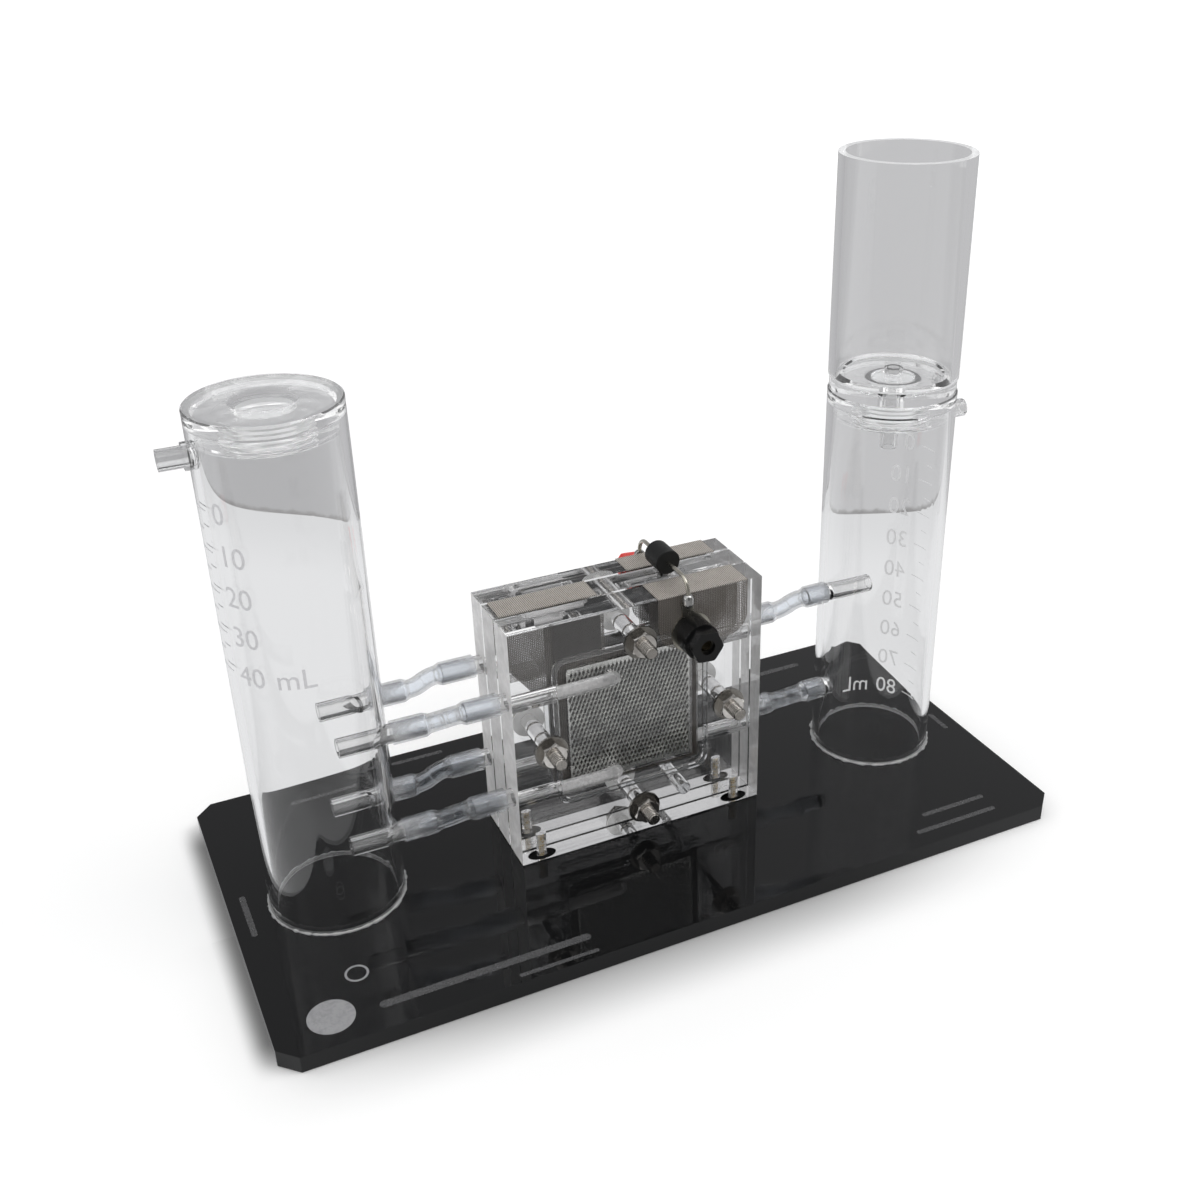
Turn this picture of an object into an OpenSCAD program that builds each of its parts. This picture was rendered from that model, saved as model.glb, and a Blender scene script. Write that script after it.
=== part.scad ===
// Bench electrolyzer: a clear tank at each side of a clamped double cell, on one base plate.
// Millimetres, +Z up. The origin is the middle of the base plate's underside; the front faces -Y.

/* [Base plate] */
// Length of the base plate
base_l = 240; // [232:1:300]
// Width of the base plate
base_w = 118; // [70:1:160]
// Thickness of the base plate
base_t = 5; // [4:0.5:8]
// Length cut off each side at a corner
corner_cut = 5; // [1:0.5:12]

/* [Tanks] */
// Distance of each tank's axis from the middle
tank_x = 90; // [80:0.5:95]
// Outer diameter of the tanks
tank_od = 38; // [34:0.5:44]
// Wall of the tanks and of the cup
tank_wall = 2; // [1.5:0.25:3]
// Height of the oxygen tank's tube
oxygen_tank_h = 143.8; // [90:0.2:180]
// Height of the hydrogen tank's tube
hydrogen_tank_h = 117.6; // [105:0.2:160]
// Height of the cup's tube
cup_h = 62.8; // [20:0.2:90]

/* [Turned caps] */
// Thickness of a cap's flange, which lies on the tube's rim
cap_flange_t = 3.7; // [3:0.1:6]
// Length of a cap's spigot inside the tube
cap_spigot_h = 4.6; // [3:0.1:7]
// Diameter of the threaded hole in a cap
cap_hole_d = 14; // [12:0.5:18]
// Diameter of the seat for the seal, round the hole
seal_seat_d = 17; // [16.5:0.25:22]
// Depth of the seat for the seal
seal_seat_h = 2; // [1.6:0.1:2.6]
// Depth of each ring groove cut in the hole and on the cup's spigot
thread_depth = 0.5; // [0.2:0.1:0.7]
// Distance between the ring grooves
thread_pitch = 1.25; // [0.8:0.05:1.6]
// Diameter of the machined ring on a cap's underside
cap_ring_d = 24.5; // [20:0.5:28]

/* [Cup] */
// Diameter of the cup's turned base
cup_base_d = 37.2; // [34:0.2:38]
// Thickness of the cup base's flange
cup_flange_t = 4.1; // [3:0.1:8]
// Height of the step inside the cup's tube
cup_step_h = 1.2; // [0.8:0.1:3]
// Depth of the dish in the cup's floor
cup_dish_h = 0.5; // [0.2:0.1:0.9]
// Diameter of the seal's cord
seal_cord_d = 1.85; // [1.6:0.05:2]
// Length of the riser tube
riser_l = 24.6; // [17:0.2:40]
// Height of the riser tube above the cup's floor
riser_proud = 1.2; // [0:0.2:10]

/* [Rigid clear tubes] */
// Outer diameter of the nozzles, the outlets and the riser
nozzle_od = 5.4; // [5:0.1:6]
// Bore of the nozzles, the outlets and the riser
nozzle_bore = 3.4; // [2.6:0.1:3.8]
// Distance of an outlet's axis below its tube's rim
outlet_drop = 7.1; // [7.1:0.1:12]
// Length of an outlet outside its tank
outlet_l = 7.2; // [4:0.2:12]
// Diameter of the glued collar round an outlet
outlet_collar_d = 7; // [6.4:0.1:9]
// Distance from the oxygen tank's axis to the outer end of its nozzles
oxygen_nozzle_reach = 27.6; // [24.5:0.1:29]
// Distance from the hydrogen tank's axis to the outer end of its upper nozzle
hydrogen_nozzle_reach = 26.4; // [24.5:0.1:29]
// Distance from a tank's axis to the inner end of its long nozzles
tank_nozzle_inner = 3.6; // [2:0.1:12]
// Distance from the hydrogen tank's axis to the outer end of the short lower nozzle
short_nozzle_reach = 25.6; // [24.5:0.1:29]
// Distance from the hydrogen tank's axis to the inner end of the short lower nozzle
short_nozzle_inner = 15.6; // [13:0.1:16.5]
// Length of a plate's nozzle outside the plate
plate_nozzle_out = 12; // [8:0.5:14]
// Depth of a plate's nozzle in the plate
plate_nozzle_in = 14; // [8:0.5:18]

/* [Port heights above the base plate] */
// Upper ports of the oxygen tank
oxygen_port_up = 53.4; // [50:0.1:58]
// Lower ports of the oxygen tank
oxygen_port_low = 21.2; // [19.5:0.1:25]
// Upper port of the hydrogen tank
hydrogen_port_up = 57.2; // [52:0.1:60]
// Lower port of the hydrogen tank
hydrogen_port_low = 22.8; // [20:0.1:26]
// Upper port of the front plate
front_port_up = 53.8; // [51:0.1:56]
// Lower port of the front plate
front_port_low = 21.8; // [21:0.1:25]
// Upper port of the middle plate
middle_port_up = 55; // [51:0.1:56]
// Lower port of the middle plate
middle_port_low = 22.4; // [21:0.1:25]
// Upper port of the back plate
back_port_up = 55.8; // [51:0.1:56.5]
// Lower port of the back plate
back_port_low = 23.8; // [21:0.1:26]

/* [Hoses] */
// Outer diameter of a free hose
hose_od = 5.4; // [5:0.1:6]
// Wall of a free hose
hose_wall = 0.9; // [0.6:0.1:1.2]
// Wall of a hose where it is stretched over a nozzle
sleeve_wall = 0.65; // [0.4:0.05:0.9]
// Length over which a hose narrows past a nozzle's end
hose_taper = 1.5; // [0.8:0.1:2.5]
// Bare length of a tank's nozzle on the front hoses
front_hose_gap = 2; // [0.4:0.1:5]
// Bare length of a tank's nozzle on the back hoses
back_hose_gap = 4.4; // [0.4:0.1:6]
// Bare length of a tank's nozzle on the middle hoses
middle_hose_gap = 0.6; // [0.4:0.1:3]
// Bare length of a plate's nozzle
plate_hose_gap = 2.4; // [0.4:0.1:4]

/* [Cell plates] */
// Width of the cell plates
plate_w = 78; // [74:0.5:84]
// Height of the cell plates
plate_h = 76.6; // [74:0.2:84]
// Thickness of the front plate
front_t = 10; // [9:0.25:14]
// Thickness of the middle plate
middle_t = 9; // [8.5:0.25:14]
// Thickness of the back plate
back_t = 8; // [8:0.25:12]
// Gap between two plates, filled by the sheets of one cell
cell_gap = 0.9; // [0.9:0.05:1.2]
// Width and height of the expanded metal
mesh_size = 38.8; // [36:0.2:40]
// Distance of the metal's middle to the left of the plates' middle
mesh_shift = 1; // [0:0.1:1.4]
// Height of the metal's middle above the plates' middle
mesh_rise = 0.4; // [0:0.1:0.8]
// Thickness of the expanded metal
mesh_t = 1.25; // [0.8:0.05:1.4]
// Diameter of the drilled channels
channel_d = 4.4; // [3.6:0.1:4.6]
// Distance of a channel's outlet from the middle
channel_end_x = 7.3; // [5:0.1:14]
// Outer width and height of the seal's groove round a cell
gasket_size = 49; // [48:0.2:49.2]
// Distance of the seal's middle to the left of the plates' middle
gasket_shift = 0.4; // [0:0.1:0.6]
// Distance of the seal's middle below the plates' middle
gasket_drop = 0.5; // [0.4:0.1:0.6]
// Width of the seal
gasket_w = 1.5; // [1.2:0.1:2.4]
// Thickness of the seal
gasket_t = 1.2; // [0.8:0.1:1.6]
// Corner radius of the seal
gasket_r = 4; // [3:0.5:6]

/* [Expanded metal] */
// Rows of gaps
gap_rows = 6; // [3:1:7]
// Columns of gaps
gap_columns = 9; // [4:1:9]
// Width of the strands between the gaps
strand_w = 1.1; // [0.7:0.1:1.6]

/* [Woven sheets] */
// Thickness of a woven sheet
sheet_t = 0.3; // [0.2:0.02:0.34]
// Thickness of a membrane with its electrodes
membrane_t = 0.2; // [0.1:0.02:0.22]
// Width and height of a sheet over the cell
sheet_size = 44.8; // [43:0.2:46]
// Distance of the sheets' middle to the left of the plates' middle
sheet_shift = 1.3; // [0:0.1:2]
// Height of the sheets' middle above the plates' middle
sheet_rise = 1.3; // [0:0.1:1.6]
// Left edge of the terminal tabs
tab_x = 5.8; // [4:0.2:7]
// Width of the terminal tabs
tab_w = 28.4; // [22:0.2:30]
// Height of the terminal tabs' cut corner above the base plate
tab_cut_z = 60.5; // [58:0.5:70]
// Length of a terminal tab down the outer face
flap_h = 16.5; // [15:0.5:22]
// Radius of a flap's lower corners
flap_r = 6.5; // [2:0.5:9]
// Left edge of the link strip
link_x = -37.2; // [-38:0.2:-33]
// Width of the link strip
link_w = 29.2; // [26:0.2:30]
// Height of the link strip's cut corner above the base plate
link_cut_z = 62.6; // [58:0.2:70]
// Width of a cut corner
corner_w = 6.2; // [3:0.2:8]
// Height of a cut corner
corner_h = 8.2; // [4:0.2:10]
// Left edge of the membranes' contact ears
ear_x = -23.8; // [-24.4:0.2:-22]
// Width of a membrane's contact ear
ear_w = 14.5; // [8:0.5:16]
// Height of the ear's top below the plate's top
ear_drop = 1.6; // [1:0.1:6]

/* [Clamping] */
// Distance of each clamping bolt from the bolts' middle
bolt_offset = 28.3; // [28.2:0.1:29.2]
// Distance of the bolts' middle below the plates' middle
bolt_drop = 1.5; // [1.3:0.1:1.7]
// Diameter of the clamping bolts
bolt_d = 4; // [3:0.1:4.2]
// Length of thread past the nut
bolt_proud = 4.4; // [1:0.2:8]
// Diameter of the bolts' holes through the plates
bolt_bore_d = 5; // [4.6:0.1:5.6]
// Width across a nut's flats
nut_flats = 7; // [6.5:0.1:8]
// Thickness of a nut
nut_t = 2.6; // [2:0.1:4]
// Diameter of a washer
washer_d = 10; // [8:0.2:11]
// Thickness of a washer
washer_t = 0.8; // [0.5:0.1:1.5]
// Diameter of the locating pin
pin_d = 4; // [3:0.1:4.2]
// Distance of the locating pin to the right of the middle
pin_x = 13.7; // [10:0.1:18]
// Height of the locating pin above the base plate
pin_z = 11; // [8:0.1:12]
// Distance of each foot screw from the middle
foot_x = 32; // [30:0.5:34]
// Diameter of the foot screws
foot_screw_d = 3; // [2.4:0.1:3.4]
// Length of a foot screw above the base plate
foot_screw_up = 7.2; // [5:0.1:8]
// Diameter of a foot screw's head
foot_head_d = 5.6; // [4.6:0.1:6.4]
// Diameter of the foot washers
foot_washer_d = 8.6; // [7:0.1:9.6]
// Thickness of the foot washers
foot_washer_t = 0.5; // [0.3:0.1:1.5]

/* [Sockets and diode] */
// Distance of the sockets to the right of the middle
socket_x = 15.8; // [13:0.1:18]
// Height of the front socket above the base plate
front_socket_z = 65; // [62:0.1:67]
// Height of the back socket above the base plate
back_socket_z = 67; // [62:0.1:67]
// Diameter of a socket's body
socket_d = 10.8; // [9.6:0.1:12]
// Width across the flats at a socket's mouth
socket_flats = 8.8; // [7.6:0.1:9.4]
// Length of the flats
socket_flats_l = 3.7; // [2:0.1:6]
// Length of a socket's body
socket_l = 10.2; // [9:0.1:16]
// Diameter of the hole for a plug
plug_d = 4; // [2:0.1:4.2]
// Diameter of the body's hole before the metal sleeve
mouth_d = 4.4; // [4.2:0.1:4.8]
// Depth of the body's hole before the metal sleeve
mouth_l = 1.8; // [0.4:0.1:3]
// Outer diameter of the metal sleeve in a socket
socket_sleeve_d = 5.2; // [4.8:0.1:5.6]
// Depth of a socket's shank in the plate
shank_l = 6; // [3:0.5:7]
// Diameter of a solder tag's ring
tag_d = 12.4; // [11:0.2:13]
// Thickness of a solder tag
tag_t = 0.6; // [0.4:0.1:1]
// Width of a solder tag's tongue
tongue_w = 3.6; // [2.4:0.1:5]
// Height of a tongue's top below the plate's top
tongue_drop = 0.8; // [0.6:0.1:3]
// Width of a solder drop
drop_w = 3.4; // [2:0.1:4]
// Height of a solder drop
drop_h = 4.6; // [4.2:0.1:6]
// Distance of the diode to the right of the middle
diode_x = 14.4; // [12:0.1:18]
// Diameter of the diode
diode_d = 7.4; // [4:0.1:8]
// Length of the diode
diode_l = 8; // [5:0.1:12]
// Height of the diode's axis above the plates
diode_lift = 5.1; // [4.6:0.1:8]
// Distance of the diode's middle behind the middle of the plates
diode_y = 0.5; // [-3:0.1:4]
// Diameter of the diode's leads
lead_d = 1.2; // [0.6:0.1:1.6]
// Radius of the bends in the leads
lead_bend_r = 4.4; // [3:0.1:5]

/* [Hidden] */
$fn = 48;
// Overshoot of every cut
cut = 0.5;
// Radial clearance of a glued or pressed fit
fit = 0.03;
// Clearance between pieces that are assembled loosely
slack = 0.05;
// Extra thickness where two stretches of a hose join
hose_lap = 0.03;

tank_r = tank_od / 2;
tank_inner_r = tank_r - tank_wall;
oxygen_cap_z = base_t + oxygen_tank_h + fit;
hydrogen_cap_z = base_t + hydrogen_tank_h + fit;
cup_base_z = hydrogen_cap_z + cap_flange_t + fit;
cup_tube_z = cup_base_z + cup_flange_t + fit;
cup_floor_z = cup_tube_z + cup_step_h - cup_dish_h;
riser_top_z = cup_floor_z + riser_proud;
cap_hole_r = cap_hole_d / 2;
cup_spigot_r = cap_hole_r - slack;
seal_r = cup_spigot_r - thread_depth + seal_cord_d / 2 + fit;

plate_z = base_t + foot_washer_t;
plate_top_z = plate_z + plate_h;
cell_z = plate_z + plate_h / 2;
bolt_z = cell_z - bolt_drop;
stack_d = front_t + middle_t + back_t + 2 * cell_gap;
front_y = -stack_d / 2;
front_inner_y = front_y + front_t;
middle_y = front_inner_y + cell_gap;
middle_back_y = middle_y + middle_t;
back_inner_y = middle_back_y + cell_gap;
back_y = back_inner_y + back_t;
front_port_y = front_y + front_t / 2;
middle_port_y = middle_y + middle_t / 2;
back_port_y = back_inner_y + back_t / 2;

mesh_pocket = mesh_size + 0.6;
mesh_pocket_t = mesh_t + slack;
sheet_x0 = -sheet_shift - sheet_size / 2;
sheet_z0 = cell_z + sheet_rise - sheet_size / 2;
sheet_z1 = sheet_z0 + sheet_size;
tag_y = sheet_t;
socket_body_y = sheet_t + tag_t;
tongue_top = plate_top_z - tongue_drop;
diode_z = plate_top_z + diode_lift;
lead_reach = stack_d / 2 + sheet_t + tag_t + lead_d / 2;

// Depth along X of a tank's outer wall at a distance y beside its axis
function wall_depth(y) = sqrt(tank_r * tank_r - y * y);

// Outline of ring grooves, from the bottom to the top of a threaded stretch
function grooves(r, depth, z0, length) = [
    for (i = [0 : floor(length / thread_pitch) - 1], side = [0, 1])
        [r + side * depth, z0 + (i + side * 0.5) * thread_pitch]
];

// A round bar along X, from x0 to x1
module bar_x(x0, x1, y, z, d) {
    translate([x0, y, z]) rotate([0, 90, 0]) cylinder(d = d, h = x1 - x0);
}

// A round bar along Y, from y0 to y1
module bar_y(y0, y1, x, z, d) {
    translate([x, y0, z]) rotate([-90, 0, 0]) cylinder(d = d, h = y1 - y0);
}

// A clear tube along X with the nozzles' bore
module nozzle_x(x0, x1, y, z) {
    difference() {
        bar_x(x0, x1, y, z, nozzle_od);
        bar_x(x0 - cut, x1 + cut, y, z, nozzle_bore);
    }
}

// A flat outline in X and Z, made a sheet from y to y + t
module sheet_y(y, t) {
    translate([0, y + t, 0]) rotate([90, 0, 0]) linear_extrude(t) children();
}

// A rectangle with round corners
module round_square(x0, z0, w, h, r) {
    translate([x0 + r, z0]) square([w - 2 * r, h]);
    translate([x0, z0 + r]) square([w, h - 2 * r]);
    for (x = [x0 + r, x0 + w - r], z = [z0 + r, z0 + h - r]) {
        translate([x, z]) circle(r);
    }
}

module base_outline() {
    x = base_l / 2;
    y = base_w / 2;
    c = corner_cut;
    polygon([
        [-x + c, -y], [x - c, -y], [x, -y + c], [x, y - c],
        [x - c, y], [-x + c, y], [-x, y - c], [-x, -y + c]
    ]);
}

// The places of the four feet, under the outer plates
module at_feet() {
    for (x = [-foot_x, foot_x], y = [front_port_y, back_port_y]) {
        translate([x, y, 0]) children();
    }
}

// A foot screw's shape with a countersunk head at the underside
module foot_screw_shape(gap, top_z) {
    translate([0, 0, 0.3 - gap]) {
        cylinder(d1 = foot_head_d + 2 * gap, d2 = foot_screw_d + 2 * gap, h = 1.6);
    }
    translate([0, 0, 0.4]) cylinder(d = foot_screw_d + 2 * gap, h = top_z - 0.4);
}

module base_plate() {
    color("#101012")
    difference() {
        linear_extrude(base_t) base_outline();
        at_feet() foot_screw_shape(slack, base_t + cut);
        at_feet() translate([0, 0, -cut]) cylinder(d = foot_head_d + 2 * slack, h = cut + 0.3);
    }
}

module foot_screws() {
    color("#b08d57")
    at_feet() {
        difference() {
            foot_screw_shape(0, base_t + foot_screw_up);
            translate([-foot_head_d, -0.4, 0]) cube([2 * foot_head_d, 0.8, 0.9]);
        }
    }
}

module foot_washers() {
    color("#151515")
    at_feet() translate([0, 0, base_t]) {
        difference() {
            cylinder(d = foot_washer_d, h = foot_washer_t);
            translate([0, 0, -cut]) cylinder(d = foot_screw_d + 4 * slack, h = foot_washer_t + 2 * cut);
        }
    }
}

// A tank's tube with its outlet hole on the outer side and its port holes; side is -1 or 1
module tank(side, h, ports) {
    color("#e6eef2")
    difference() {
        translate([side * tank_x, 0, base_t]) cylinder(r = tank_r, h = h);
        translate([side * tank_x, 0, base_t - cut]) cylinder(r = tank_inner_r, h = h + 2 * cut);
        outlet_hole_x = side > 0 ? tank_x : -tank_x - tank_od;
        bar_x(outlet_hole_x, outlet_hole_x + tank_od, 0, base_t + h - outlet_drop, nozzle_od + 2 * fit);
        port_hole_x = side > 0 ? tank_x - tank_od : -tank_x;
        for (port = ports) {
            bar_x(port_hole_x, port_hole_x + tank_od, port[0], base_t + port[1], nozzle_od + 2 * fit);
        }
    }
}

module oxygen_tank() {
    tank(-1, oxygen_tank_h, [
        for (y = [front_port_y, back_port_y], z = [oxygen_port_up, oxygen_port_low]) [y, z]
    ]);
}

module hydrogen_tank() {
    tank(1, hydrogen_tank_h, [for (z = [hydrogen_port_up, hydrogen_port_low]) [middle_port_y, z]]);
}

// A turned cap: flange, spigot, threaded hole, seal seat and a machined ring underneath
module cap() {
    seat_z = cap_flange_t - seal_seat_h;
    thread_h = seat_z + cap_spigot_h - 1;
    ring_r = cap_ring_d / 2;
    color("#eef4f6")
    rotate_extrude() polygon(concat(
        [[ring_r, -cap_spigot_h + 0.3], [ring_r, -cap_spigot_h], [tank_inner_r - fit - 0.6, -cap_spigot_h]],
        [[tank_inner_r - fit, -cap_spigot_h + 0.6], [tank_inner_r - fit, 0], [tank_r, 0]],
        [[tank_r, cap_flange_t - 0.4], [tank_r - 0.4, cap_flange_t], [seal_seat_d / 2, cap_flange_t]],
        [[seal_seat_d / 2, seat_z], [cap_hole_r, seat_z]],
        [for (i = [len(grooves(0, 0, 0, thread_h)) - 1 : -1 : 0])
            grooves(cap_hole_r, thread_depth, -cap_spigot_h + 0.5, thread_h)[i]],
        [[cap_hole_r, -cap_spigot_h + 0.3]]
    ));
}

module oxygen_tank_cap() {
    translate([-tank_x, 0, oxygen_cap_z]) cap();
}

module hydrogen_tank_cap() {
    translate([tank_x, 0, hydrogen_cap_z]) cap();
}

// An outlet at height z; side is -1 or 1. Its collar is shaped to the tank's wall.
module outlet(side, z) {
    inner = tank_inner_r + 0.1;
    outer = tank_r + outlet_l;
    color("#e6eef2")
    translate([side * tank_x, 0, 0]) mirror([side > 0 ? 0 : 1, 0, 0]) {
        difference() {
            union() {
                bar_x(inner, outer, 0, z, nozzle_od);
                difference() {
                    bar_x(tank_r - 1, tank_r + 1.3, 0, z, outlet_collar_d);
                    translate([0, 0, z - tank_r]) cylinder(r = tank_r + fit, h = tank_od);
                }
            }
            bar_x(inner - cut, outer + cut, 0, z, nozzle_bore);
        }
    }
}

module oxygen_outlet() {
    outlet(-1, base_t + oxygen_tank_h - outlet_drop);
}

module hydrogen_outlet() {
    outlet(1, base_t + hydrogen_tank_h - outlet_drop);
}

module oxygen_tank_nozzles() {
    color("#e6eef2")
    for (y = [front_port_y, back_port_y], z = [oxygen_port_up, oxygen_port_low]) {
        nozzle_x(-tank_x + tank_nozzle_inner, -tank_x + oxygen_nozzle_reach, y, base_t + z);
    }
}

module hydrogen_tank_nozzles() {
    upper_x = tank_x - hydrogen_nozzle_reach;
    lower_x = tank_x - short_nozzle_reach;
    color("#e6eef2") {
        nozzle_x(upper_x, tank_x - tank_nozzle_inner, middle_port_y, base_t + hydrogen_port_up);
        nozzle_x(lower_x, tank_x - short_nozzle_inner, middle_port_y, base_t + hydrogen_port_low);
    }
}

// The cup's turned base: threaded spigot below, flange, and a dished step inside the tube
module cup_base() {
    spigot_h = cap_flange_t + cap_spigot_h - 0.6;
    root_r = cup_spigot_r - thread_depth;
    root_z = -seal_seat_h - 0.1;
    thread_h = spigot_h + root_z - 0.8;
    bore_r = nozzle_od / 2 + fit;
    step_r = tank_inner_r - fit;
    floor_z = cup_flange_t + cup_step_h;
    dish_r = step_r - cup_step_h - 1;
    color("#eef4f6")
    translate([tank_x, 0, cup_base_z])
    rotate_extrude() polygon(concat(
        [[bore_r, -spigot_h], [cup_spigot_r - 0.4, -spigot_h]],
        grooves(cup_spigot_r, -thread_depth, -spigot_h + 0.5, thread_h),
        [[cup_spigot_r, root_z], [root_r, root_z], [root_r, 0], [cup_base_d / 2, 0]],
        [[cup_base_d / 2, cup_flange_t], [step_r, cup_flange_t]],
        [[step_r, cup_flange_t + slack], [step_r - cup_step_h + slack, floor_z]],
        [[dish_r, floor_z], [dish_r - cup_dish_h, floor_z - cup_dish_h], [bore_r, floor_z - cup_dish_h]]
    ));
}

module cup_tube() {
    color("#e6eef2")
    translate([tank_x, 0, cup_tube_z]) {
        difference() {
            cylinder(r = tank_r, h = cup_h);
            translate([0, 0, -cut]) cylinder(r = tank_inner_r, h = cup_h + 2 * cut);
        }
    }
}

module cup_seal() {
    color("#141414")
    translate([tank_x, 0, cup_base_z - seal_seat_h / 2]) {
        rotate_extrude() translate([seal_r, 0]) circle(d = seal_cord_d);
    }
}

module riser_tube() {
    color("#e6eef2")
    translate([tank_x, 0, riser_top_z - riser_l]) {
        difference() {
            cylinder(d = nozzle_od, h = riser_l);
            translate([0, 0, -cut]) cylinder(d = nozzle_bore, h = riser_l + 2 * cut);
        }
    }
}

// The channel of one port, from the plate's side to its outlet; side is -1 or 1
module channel(side, y, z) {
    tip = channel_d / 2 * 0.6;
    mirror([side > 0 ? 0 : 1, 0, 0]) {
        bar_x(plate_w / 2 - plate_nozzle_in, plate_w / 2 + cut, y, z, nozzle_od + 2 * fit);
        bar_x(channel_end_x, plate_w / 2, y, z, channel_d);
        translate([channel_end_x, y, z]) rotate([0, -90, 0]) cylinder(d1 = channel_d, d2 = 0, h = tip);
    }
}

// Holes through a plate for the bolts and for the locating pin
module clamp_holes(y0, y1) {
    for (p = [[0, 1], [0, -1], [1, 0], [-1, 0]] * bolt_offset) {
        bar_y(y0 - cut, y1 + cut, p[0], bolt_z + p[1], bolt_bore_d);
    }
    bar_y(y0 - cut, y1 + cut, pin_x, base_t + pin_z, pin_d + 2 * slack);
}

module mesh_outline(size) {
    translate([-mesh_shift - size / 2, cell_z + mesh_rise - size / 2]) square(size);
}

module gasket_ring(gap) {
    s = gasket_size;
    w = gasket_w - gap;
    x0 = -gasket_shift - s / 2;
    z0 = cell_z - gasket_drop - s / 2;
    difference() {
        round_square(x0 + gap, z0 + gap, s - 2 * gap, s - 2 * gap, gasket_r);
        round_square(x0 + w, z0 + w, s - 2 * w, s - 2 * w, gasket_r - gasket_w / 2);
    }
}

module plate_block(y, t) {
    translate([-plate_w / 2, y, plate_z]) cube([plate_w, t, plate_h]);
}

module foot_screw_holes(y) {
    for (x = [-foot_x, foot_x]) {
        translate([x, y, plate_z - cut]) {
            cylinder(d = foot_screw_d + 2 * slack, h = foot_screw_up - foot_washer_t + cut + 0.8);
        }
    }
}

module front_plate() {
    color("#dfe9ee")
    difference() {
        plate_block(front_y, front_t);
        sheet_y(front_inner_y - mesh_pocket_t, mesh_pocket_t + cut) mesh_outline(mesh_pocket);
        sheet_y(front_inner_y - gasket_t - slack, gasket_t + slack + cut) gasket_ring(0);
        clamp_holes(front_y, front_inner_y);
        foot_screw_holes(front_port_y);
        for (z = [base_t + front_port_up, base_t + front_port_low]) {
            channel(-1, front_port_y, z);
            bar_y(front_port_y, front_inner_y - mesh_t, -channel_end_x, z, channel_d);
        }
        bar_y(front_y - cut, front_y + shank_l + slack, socket_x, base_t + front_socket_z, shank_hole_d());
    }
}

module middle_plate() {
    color("#dfe9ee")
    difference() {
        plate_block(middle_y, middle_t);
        sheet_y(middle_y - cut, mesh_pocket_t + cut) mesh_outline(mesh_pocket);
        sheet_y(middle_back_y - mesh_pocket_t, mesh_pocket_t + cut) mesh_outline(mesh_pocket);
        clamp_holes(middle_y, middle_back_y);
        for (z = [base_t + middle_port_up, base_t + middle_port_low]) {
            channel(1, middle_port_y, z);
            bar_y(middle_y + mesh_t, middle_back_y - mesh_t, channel_end_x, z, channel_d);
        }
    }
}

module back_plate() {
    color("#dfe9ee")
    difference() {
        plate_block(back_inner_y, back_t);
        sheet_y(back_inner_y - cut, mesh_pocket_t + cut) mesh_outline(mesh_pocket);
        sheet_y(back_inner_y - cut, gasket_t + slack + cut) gasket_ring(0);
        clamp_holes(back_inner_y, back_y);
        foot_screw_holes(back_port_y);
        for (z = [base_t + back_port_up, base_t + back_port_low]) {
            channel(-1, back_port_y, z);
            bar_y(back_inner_y + mesh_t, back_port_y, -channel_end_x, z, channel_d);
        }
        bar_y(back_y - shank_l - slack, back_y + cut, socket_x, base_t + back_socket_z, shank_hole_d());
    }
}

module front_plate_nozzles() {
    plate_nozzles(-1, front_port_y, [front_port_up, front_port_low]);
}

module middle_plate_nozzles() {
    plate_nozzles(1, middle_port_y, [middle_port_up, middle_port_low]);
}

module back_plate_nozzles() {
    plate_nozzles(-1, back_port_y, [back_port_up, back_port_low]);
}

module plate_nozzles(side, y, heights) {
    color("#e6eef2")
    mirror([side > 0 ? 0 : 1, 0, 0]) {
        for (z = heights) {
            nozzle_x(plate_w / 2 - plate_nozzle_in + slack, plate_w / 2 + plate_nozzle_out, y, base_t + z);
        }
    }
}

// Expanded metal: a square of diamond gaps in staggered rows, upright
module flow_mesh(y) {
    pitch_x = mesh_size / (gap_columns + 0.4);
    pitch_z = mesh_size / (gap_rows + 0.4);
    gap_x = pitch_x - strand_w;
    gap_z = pitch_z - strand_w * 1.6;
    color("#8e8e8a")
    sheet_y(y, mesh_t)
    difference() {
        mesh_outline(mesh_size);
        for (row = [0 : 2 * gap_rows - 2], column = [0 : gap_columns - 1 - row % 2]) {
            x = (column + (row % 2) * 0.5 - (gap_columns - 1) / 2) * pitch_x - mesh_shift;
            z = (row / 2 - (gap_rows - 1) / 2) * pitch_z + cell_z + mesh_rise;
            translate([x, z]) polygon([[-gap_x / 2, 0], [0, -gap_z / 2], [gap_x / 2, 0], [0, gap_z / 2]]);
        }
    }
}

module front_flow_mesh() {
    flow_mesh(front_inner_y - mesh_t);
}

module middle_front_flow_mesh() {
    flow_mesh(middle_y);
}

module middle_back_flow_mesh() {
    flow_mesh(middle_back_y - mesh_t);
}

module back_flow_mesh() {
    flow_mesh(back_inner_y);
}

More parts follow.
